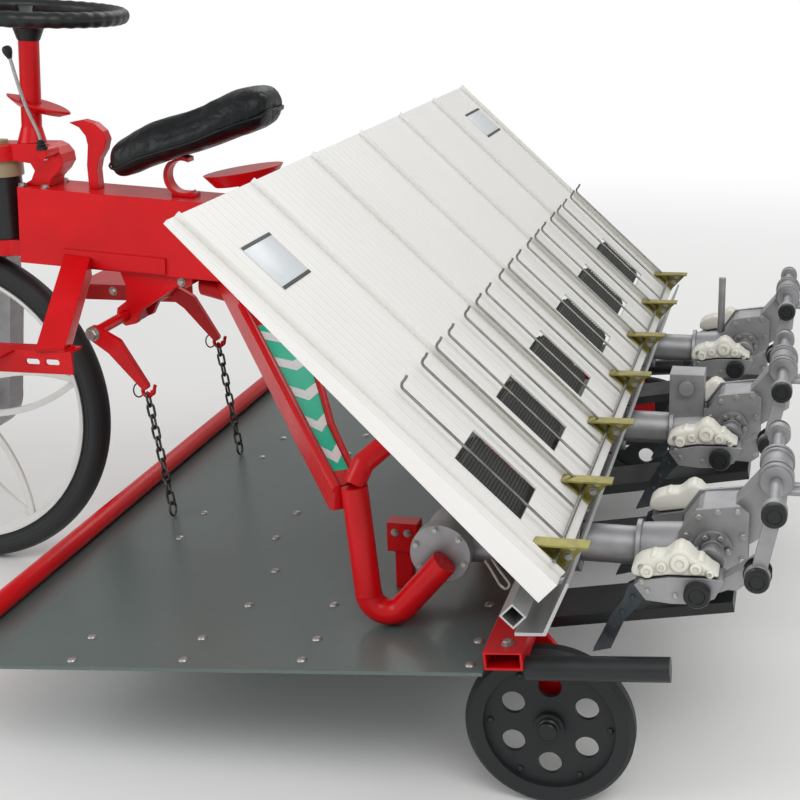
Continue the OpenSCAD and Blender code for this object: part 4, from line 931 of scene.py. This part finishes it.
window_shift = 0.034
belt_wide = 0.124
belt_round = 0.014
belt_shaft_down = (0.537, 0.632)
belt_shaft_out = -0.016
belt_thick = 0.0022
rib_high = 0.0022
rib_pitch = 0.0058
belt_flat = belt_shaft_down[1] - belt_shaft_down[0]
belt_length = 2 * belt_flat + 2 * math.pi * belt_round
rib_count = round(belt_length / rib_pitch)


def belt_point(run, high):
    """A place on the belt's loop, as distances down the slope and off the sheet."""
    run = run % belt_length
    reach = belt_round - rib_high + high
    if run < belt_flat:
        return belt_shaft_down[0] + run, belt_shaft_out + reach
    run -= belt_flat
    if run < math.pi * belt_round:
        angle = math.pi / 2 - run / belt_round
        return belt_shaft_down[1] + reach * math.cos(angle), belt_shaft_out + reach * math.sin(angle)
    run -= math.pi * belt_round
    if run < belt_flat:
        return belt_shaft_down[1] - run, belt_shaft_out - reach
    angle = -math.pi / 2 - (run - belt_flat) / belt_round
    return belt_shaft_down[0] + reach * math.cos(angle), belt_shaft_out + reach * math.sin(angle)


bm = bmesh.new()
for row in range(6):
    belt_y = (row - 2.5) * row_pitch + window_shift
    outer, inner = [], []
    for rib in range(rib_count):
        for part, high in ((0.0, 0.0), (0.12, 1.0), (0.5, 1.0), (0.62, 0.0)):
            run = (rib + part) * belt_length / rib_count
            outer.append(belt_point(run, high * rib_high))
            inner.append(belt_point(run, -belt_thick))
    rings = [[bm.verts.new(on_table(down, belt_y + y, out)) for down, out in line]
             for line, y in ((outer, -belt_wide / 2), (outer, belt_wide / 2), (inner, belt_wide / 2),
                             (inner, -belt_wide / 2))]
    for ring, after in zip(rings, rings[1:] + rings[:1]):
        for k in range(len(ring)):
            after_k = (k + 1) % len(ring)
            bm.faces.new([ring[k], ring[after_k], after[after_k], after[k]])
belts = set_up("ribbed_belts", bm, belt_rubber, "table")
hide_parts("feed_belts")

# Hard-drawn steel wire, bright: fine pale lines with a thin dull film
wire_film = 0.015
drawn_wire = clouded("hard_drawn_steel_wire", wire_film, ("#6f6f68", "#a3a39a"), (0.25, 0.45),
                     {"Metallic": 0.9})

rod_places = (-0.138, -0.045, 0.077)
rod_foot, rod_tip, rod_out = 0.716, 0.388, 0.014
rod_bend = 0.008
table_half = 0.930
bm = bmesh.new()
sweep(bm, [on_table(rod_foot, side * (table_half - 0.02), rod_out) for side in (-1, 1)], 0.003, 12)
for row in range(6):
    for shift in rod_places:
        y = (row - 2.5) * row_pitch + shift
        run = [(rod_foot, rod_out), (rod_tip + 0.010, rod_out)]
        for a in (0.4, 0.8, 1.2, 1.5):
            run.append((rod_tip + 0.010 - rod_bend * math.sin(a), rod_out + rod_bend * (1 - math.cos(a))))
        run += [(rod_tip + 0.0015, rod_out + 0.014), (rod_tip - 0.0005, rod_out + 0.020)]
        sweep(bm, [on_table(down, y, out) for down, out in run], 0.0023, 8)
press_wires = set_up("press_wires", bm, drawn_wire, "table")
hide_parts("press_rods")

# Spring loop that hangs under the table's near corner
spring_run = [(-0.741, 0.922, 0.493), (-0.750, 0.924, 0.480), (-0.760, 0.926, 0.468), (-0.766, 0.926, 0.458),
              (-0.761, 0.926, 0.451), (-0.753, 0.925, 0.455), (-0.746, 0.924, 0.466), (-0.737, 0.922, 0.480),
              (-0.730, 0.920, 0.489)]
bm = bmesh.new()
sweep(bm, bend(spring_run, 5), 0.002, 8)
set_up("spring_loop", bm, drawn_wire, "table")

bm = bmesh.new()
for row in range(7):
    gusset_y = (row - 3) * row_pitch + (0.006 if row < 6 else -0.034)
    for down, out in ((0.726, 0.032), (0.732, 0.016)):
        hex_bolt(bm, on_table(down, gusset_y + 0.0002, out), (0, 1, 0), 0.011)
set_up("gusset_bolts", bm, bright_zinc, "table")

# Blank label: pale lacquered foil with a printed dark band along its top and foot
foil_grain = 0.01
label_foil = clouded("pale_label_foil", foil_grain, ("#d5dbe0", "#e3e7e9"), 0.3, {"IOR": 1.5}, detail=3.0)


def oblong(x, y, far_x, far_y):
    """The four corners of an oblong."""
    return [(x, y), (far_x, y), (far_x, far_y), (x, far_y)]


band_wide = 0.006
# Label: first and last place down the slope, then across
labels = [(0.087, 0.175, 0.705, 0.825), (0.070, 0.149, -0.870, -0.720)]
bm = bmesh.new()
bands = bmesh.new()
for top, foot, low_y, high_y in labels:
    cut_plate(bm, oblong(top, -low_y, foot, -high_y), 0.0006,
              table_seat @ Matrix.Translation((0, 0, 0.0002)), 0.0002)
    for start in (top, foot - band_wide):
        cut_plate(bands, oblong(start, -low_y, start + band_wide, -high_y), 0.0003,
                  table_seat @ Matrix.Translation((0, 0, 0.0008)))
set_up("label_plates", bm, label_foil, "table")
set_up("label_bands", bands, black_enamel, "table")

# Front head: a swivelling frame over the wheel that carries the engine, fuel tank and silencer,
# with a cast gear case down to the axle, and a pair of belt pulleys on its right.

dress(sand_cast, "drive_leg")
axle_high = 0.365
leg_centre = Vector((axle_x, -0.1252, axle_high))
bm = bmesh.new()
for x, z in circle(0.078, 7, 195, 25):
    hex_bolt(bm, leg_centre + Vector((x, 0, z)), (0, -1, 0), 0.014)
for reach, rise in ((0.0830, 0.065), (0.0905, 0.135), (0.1000, 0.205), (0.1060, 0.285), (0.1060, 0.365)):
    for side in (-1, 1):
        hex_bolt(bm, leg_centre + Vector((side * reach, 0, rise)), (0, -1, 0), 0.014)
turn(bm, [(0, -0.0002), (0.052, -0.0002), (0.050, 0.006), (0.030, 0.010), (0.026, 0.016), (0, 0.016)],
     seat_at(leg_centre, (0, -1, 0)), 40)
set_up("gear_case_bolts", bm, bright_zinc, "head")

# Head frame in black enamel, its bumper tube sprayed red, and a plain bronze bush at the pin
head_enamel, tree = blank_finish("head_enamels")
head_place = add(tree, "TexCoord").outputs["Object"]
head_cloud = add(tree, "TexNoise", {"Vector": head_place, "Scale": 1 / coat_patch, "Detail": 4.0}).outputs[0]
head_axes = add(tree, "SeparateXYZ", {0: head_place}).outputs
# Where the tube and the bush start, in metres
head_above, head_ahead, head_tip, head_bush = [
    add(tree, "Math", {0: head_axes[way], 1: start}, operation="GREATER_THAN").outputs[0]
    for way, start in (("Z", 0.7825), ("X", 1.0), ("X", 1.1225), ("Z", 0.8755))]
head_tube = add(tree, "Math", {0: head_above, 1: head_ahead}, operation="MULTIPLY").outputs[0]
head_red = add(tree, "Math", {0: head_tube, 1: head_tip}, operation="MAXIMUM").outputs[0]
head_dark = add(tree, "Mix", {0: head_cloud, 6: linear("#101213"), 7: linear("#1f2325")},
                data_type="RGBA").outputs[2]
head_tubed = add(tree, "Mix", {0: head_red, 6: head_dark, 7: linear("#c60d17")},
                 data_type="RGBA").outputs[2]
head_colour = add(tree, "Mix", {0: head_bush, 6: head_tubed, 7: linear("#9c8f70")},
                  data_type="RGBA").outputs[2]
head_gloss = add(tree, "MapRange", {"Value": head_cloud, "To Min": 0.25, "To Max": 0.45}).outputs[0]
seal(tree, {"Base Color": head_colour, "Roughness": head_gloss, "IOR": 1.5}, edge=0.002)
dress(head_enamel, "head_frame")

# Engine enamel on cast aluminium: dark grey, satin, slightly oily in the corners
oil_film = 0.06
engine_enamel = clouded("engine_grey_enamel", oil_film, ("#2a2e30", "#43484a"), (0.28, 0.6), {"IOR": 1.5},
                        detail=5.0, grain=(sand_grain, 2.0, 0.25, 0.0005), edge=0.003)
dress(engine_enamel, "engine")

bm = bmesh.new()
starter = seat_at((0.915, 0.155, 0.8823), (0, 1, 0))
turn(bm, [(0.0920, -0.0002), (0.0920, 0.0040), (0.0780, 0.0100), (0.0420, 0.0110), (0.0380, 0.0075),
          (0.0150, 0.0075), (0.0130, 0.0105), (0, 0.0110)], starter, 48)
for k in range(24):
    rib = starter @ Matrix.Rotation(2 * math.pi * k / 24, 4, "Z")
    cut_plate(bm, [(0.046, -0.0016), (0.074, -0.0026), (0.074, 0.0026), (0.046, 0.0016)], 0.0026,
              rib @ Matrix.Translation((0, 0, 0.0102)), 0.0006)
for x, y in circle(0.085, 4, 45):
    hex_bolt(bm, starter @ Vector((x, y, 0.0062)), (0, 1, 0), 0.010)
turn(bm, [(0, 0), (0.0075, 0), (0.0085, 0.004), (0.0070, 0.020), (0.0090, 0.036), (0, 0.038)],
     seat_at((0.845, 0.146, 0.968), (-0.5, 0, 0.6)), 16)
plug_at = Vector((0.915, 0.0, 1.0970))
turn(bm, [(0, 0), (0.0110, 0), (0.0110, 0.006), (0.0085, 0.007), (0.0085, 0.012), (0.0105, 0.013),
          (0.0105, 0.024), (0.0080, 0.029), (0, 0.030)], seat_at(plug_at, (0, 0, 1)), 20)
set_up("starter_and_plug", bm, black_moulding, "head")

tank_low, tank_high = Vector((0.7253, -0.1097, 0.9529)), Vector((0.8347, 0.1097, 1.0725))
bm = bmesh.new()
cut_plate(bm, oblong(tank_low.x, tank_low.y, tank_high.x, tank_high.y), tank_high.z - tank_low.z,
          Matrix.Translation((0, 0, tank_low.z)), 0.022)
tank = set_up("fuel_tank_shell", bm, red_enamel, "head")
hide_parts("fuel_tank")
round_over(tank, 2)
bm = bmesh.new()
turn(bm, [(0, 0), (0.0260, 0), (0.0275, 0.002), (0.0275, 0.012), (0.0255, 0.0155), (0.0100, 0.0170),
          (0, 0.0170)], seat_at((0.780, 0.045, 1.0705), (0, 0, 1)), 32)
set_up("tank_cap", bm, black_moulding, "head")

muffler_low, muffler_high = Vector((0.9953, -0.0897, 0.9529)), Vector((1.0847, 0.0897, 1.0523))
bm = bmesh.new()
cut_plate(bm, oblong(muffler_low.x, muffler_low.y, muffler_high.x, muffler_high.y),
          muffler_high.z - muffler_low.z - 0.003, Matrix.Translation((0, 0, muffler_low.z)), 0.012)
for louvre in range(9):
    y = -0.064 + 0.016 * louvre
    cut_plate(bm, oblong(muffler_low.x + 0.018, y, muffler_high.x - 0.018, y + 0.009), 0.004,
              Matrix.Translation((0, 0, muffler_high.z - 0.0042)), 0.0018)
silencer = set_up("silencer", bm, oiled_steel, "head")
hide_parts("muffler")

bm = bmesh.new()
pulley_y = -0.1153
belt_sink = 0.004
pulleys = [(0.915, 0.882, 0.060), (0.755, 0.852, 0.055)]
for x, z, radius in pulleys:
    half = [(radius - 0.011, 0.0035), (radius, 0.0150), (radius - 0.002, 0.0165), (radius - 0.014, 0.009),
            (0.018, 0.013), (0.018, 0.0195), (0, 0.0195)]
    turn(bm, [(reach, -high) for reach, high in reversed(half)] + half,
         seat_at((x, pulley_y, z), (0, -1, 0)), 48)
pulley_pair = set_up("belt_pulleys", bm, sand_cast, "head")
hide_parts("belt_drive")
bm = bmesh.new()
centre_run = Vector((pulleys[0][0] - pulleys[1][0], 0, pulleys[0][1] - pulleys[1][1]))
lean = math.atan2(centre_run.z, centre_run.x)
loop = []
for (x, z, radius), start in ((pulleys[0], -90), (pulleys[1], 90)):
    for k in range(25):
        angle = lean + math.radians(start + 180 * k / 24)
        reach = radius - belt_sink
        loop.append((x + reach * math.cos(angle), pulley_y, z + reach * math.sin(angle)))
sweep(bm, loop, 0.0050, 6, closed=True)
set_up("drive_belt", bm, tyre_rubber, "head")

# Front wheel: a narrow solid rubber tyre, smooth and round, on a white enamelled steel rim with
# pairs of flat spokes bent to opposite sides.

# Stove enamel on steel: white, glossy, with painted shade greying it where the spokes meet the rim
rim_patch = 0.1
white_enamel = clouded("stoved_gloss_white_enamel", rim_patch, ("#e6e6e3", "#d6d6d2"), 0.28, {"IOR": 1.5},
                       corner_shade=(0.02, 0.2, 0.8, 0.6, "#8d8c86"), edge=0.002)
dress(white_enamel, "front_rim")

axle = Vector((axle_x, 0, axle_high))
tyre_outer, tyre_inner, tyre_half = axle_high, 0.3135, 0.030
tyre_middle = (tyre_outer + tyre_inner) / 2
tyre_rise = (tyre_outer - tyre_inner) / 2
tyre_section = []
for k in range(29):
    angle = math.radians(-140 + 10 * k)
    tyre_section.append((tyre_middle + tyre_rise * math.cos(angle), tyre_half * math.sin(angle)))
tyre_section += [(tyre_inner, 0.60 * tyre_half), (tyre_inner, -0.60 * tyre_half), tyre_section[0]]
bm = bmesh.new()
turn(bm, tyre_section, seat_at(axle, (0, 1, 0)), 144)
# Thin moulding ridges round both sides of the tyre
for side in (-1, 1):
    for ridge_reach, ridge_y in ((0.3290, 0.0276), (0.3560, 0.0229)):
        sweep(bm, [(axle.x + x, side * ridge_y, axle.z + z) for x, z in circle(ridge_reach, 144)],
              0.0009, 6, closed=True)
bmesh.ops.remove_doubles(bm, verts=bm.verts, dist=0.00002)
tyre = set_up("round_tyre", bm, tyre_rubber, "front_wheel")
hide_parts("front_tyre")

bm = bmesh.new()
for side in (-1, 1):
    hub = seat_at((axle.x, side * 0.031, axle.z), (0, side, 0))
    for x, y in circle(0.034, 5, 36):
        hex_bolt(bm, hub @ Vector((x, y, 0.0002)), (0, side, 0), 0.011)
set_up("hub_bolts", bm, bright_zinc, "front_wheel")
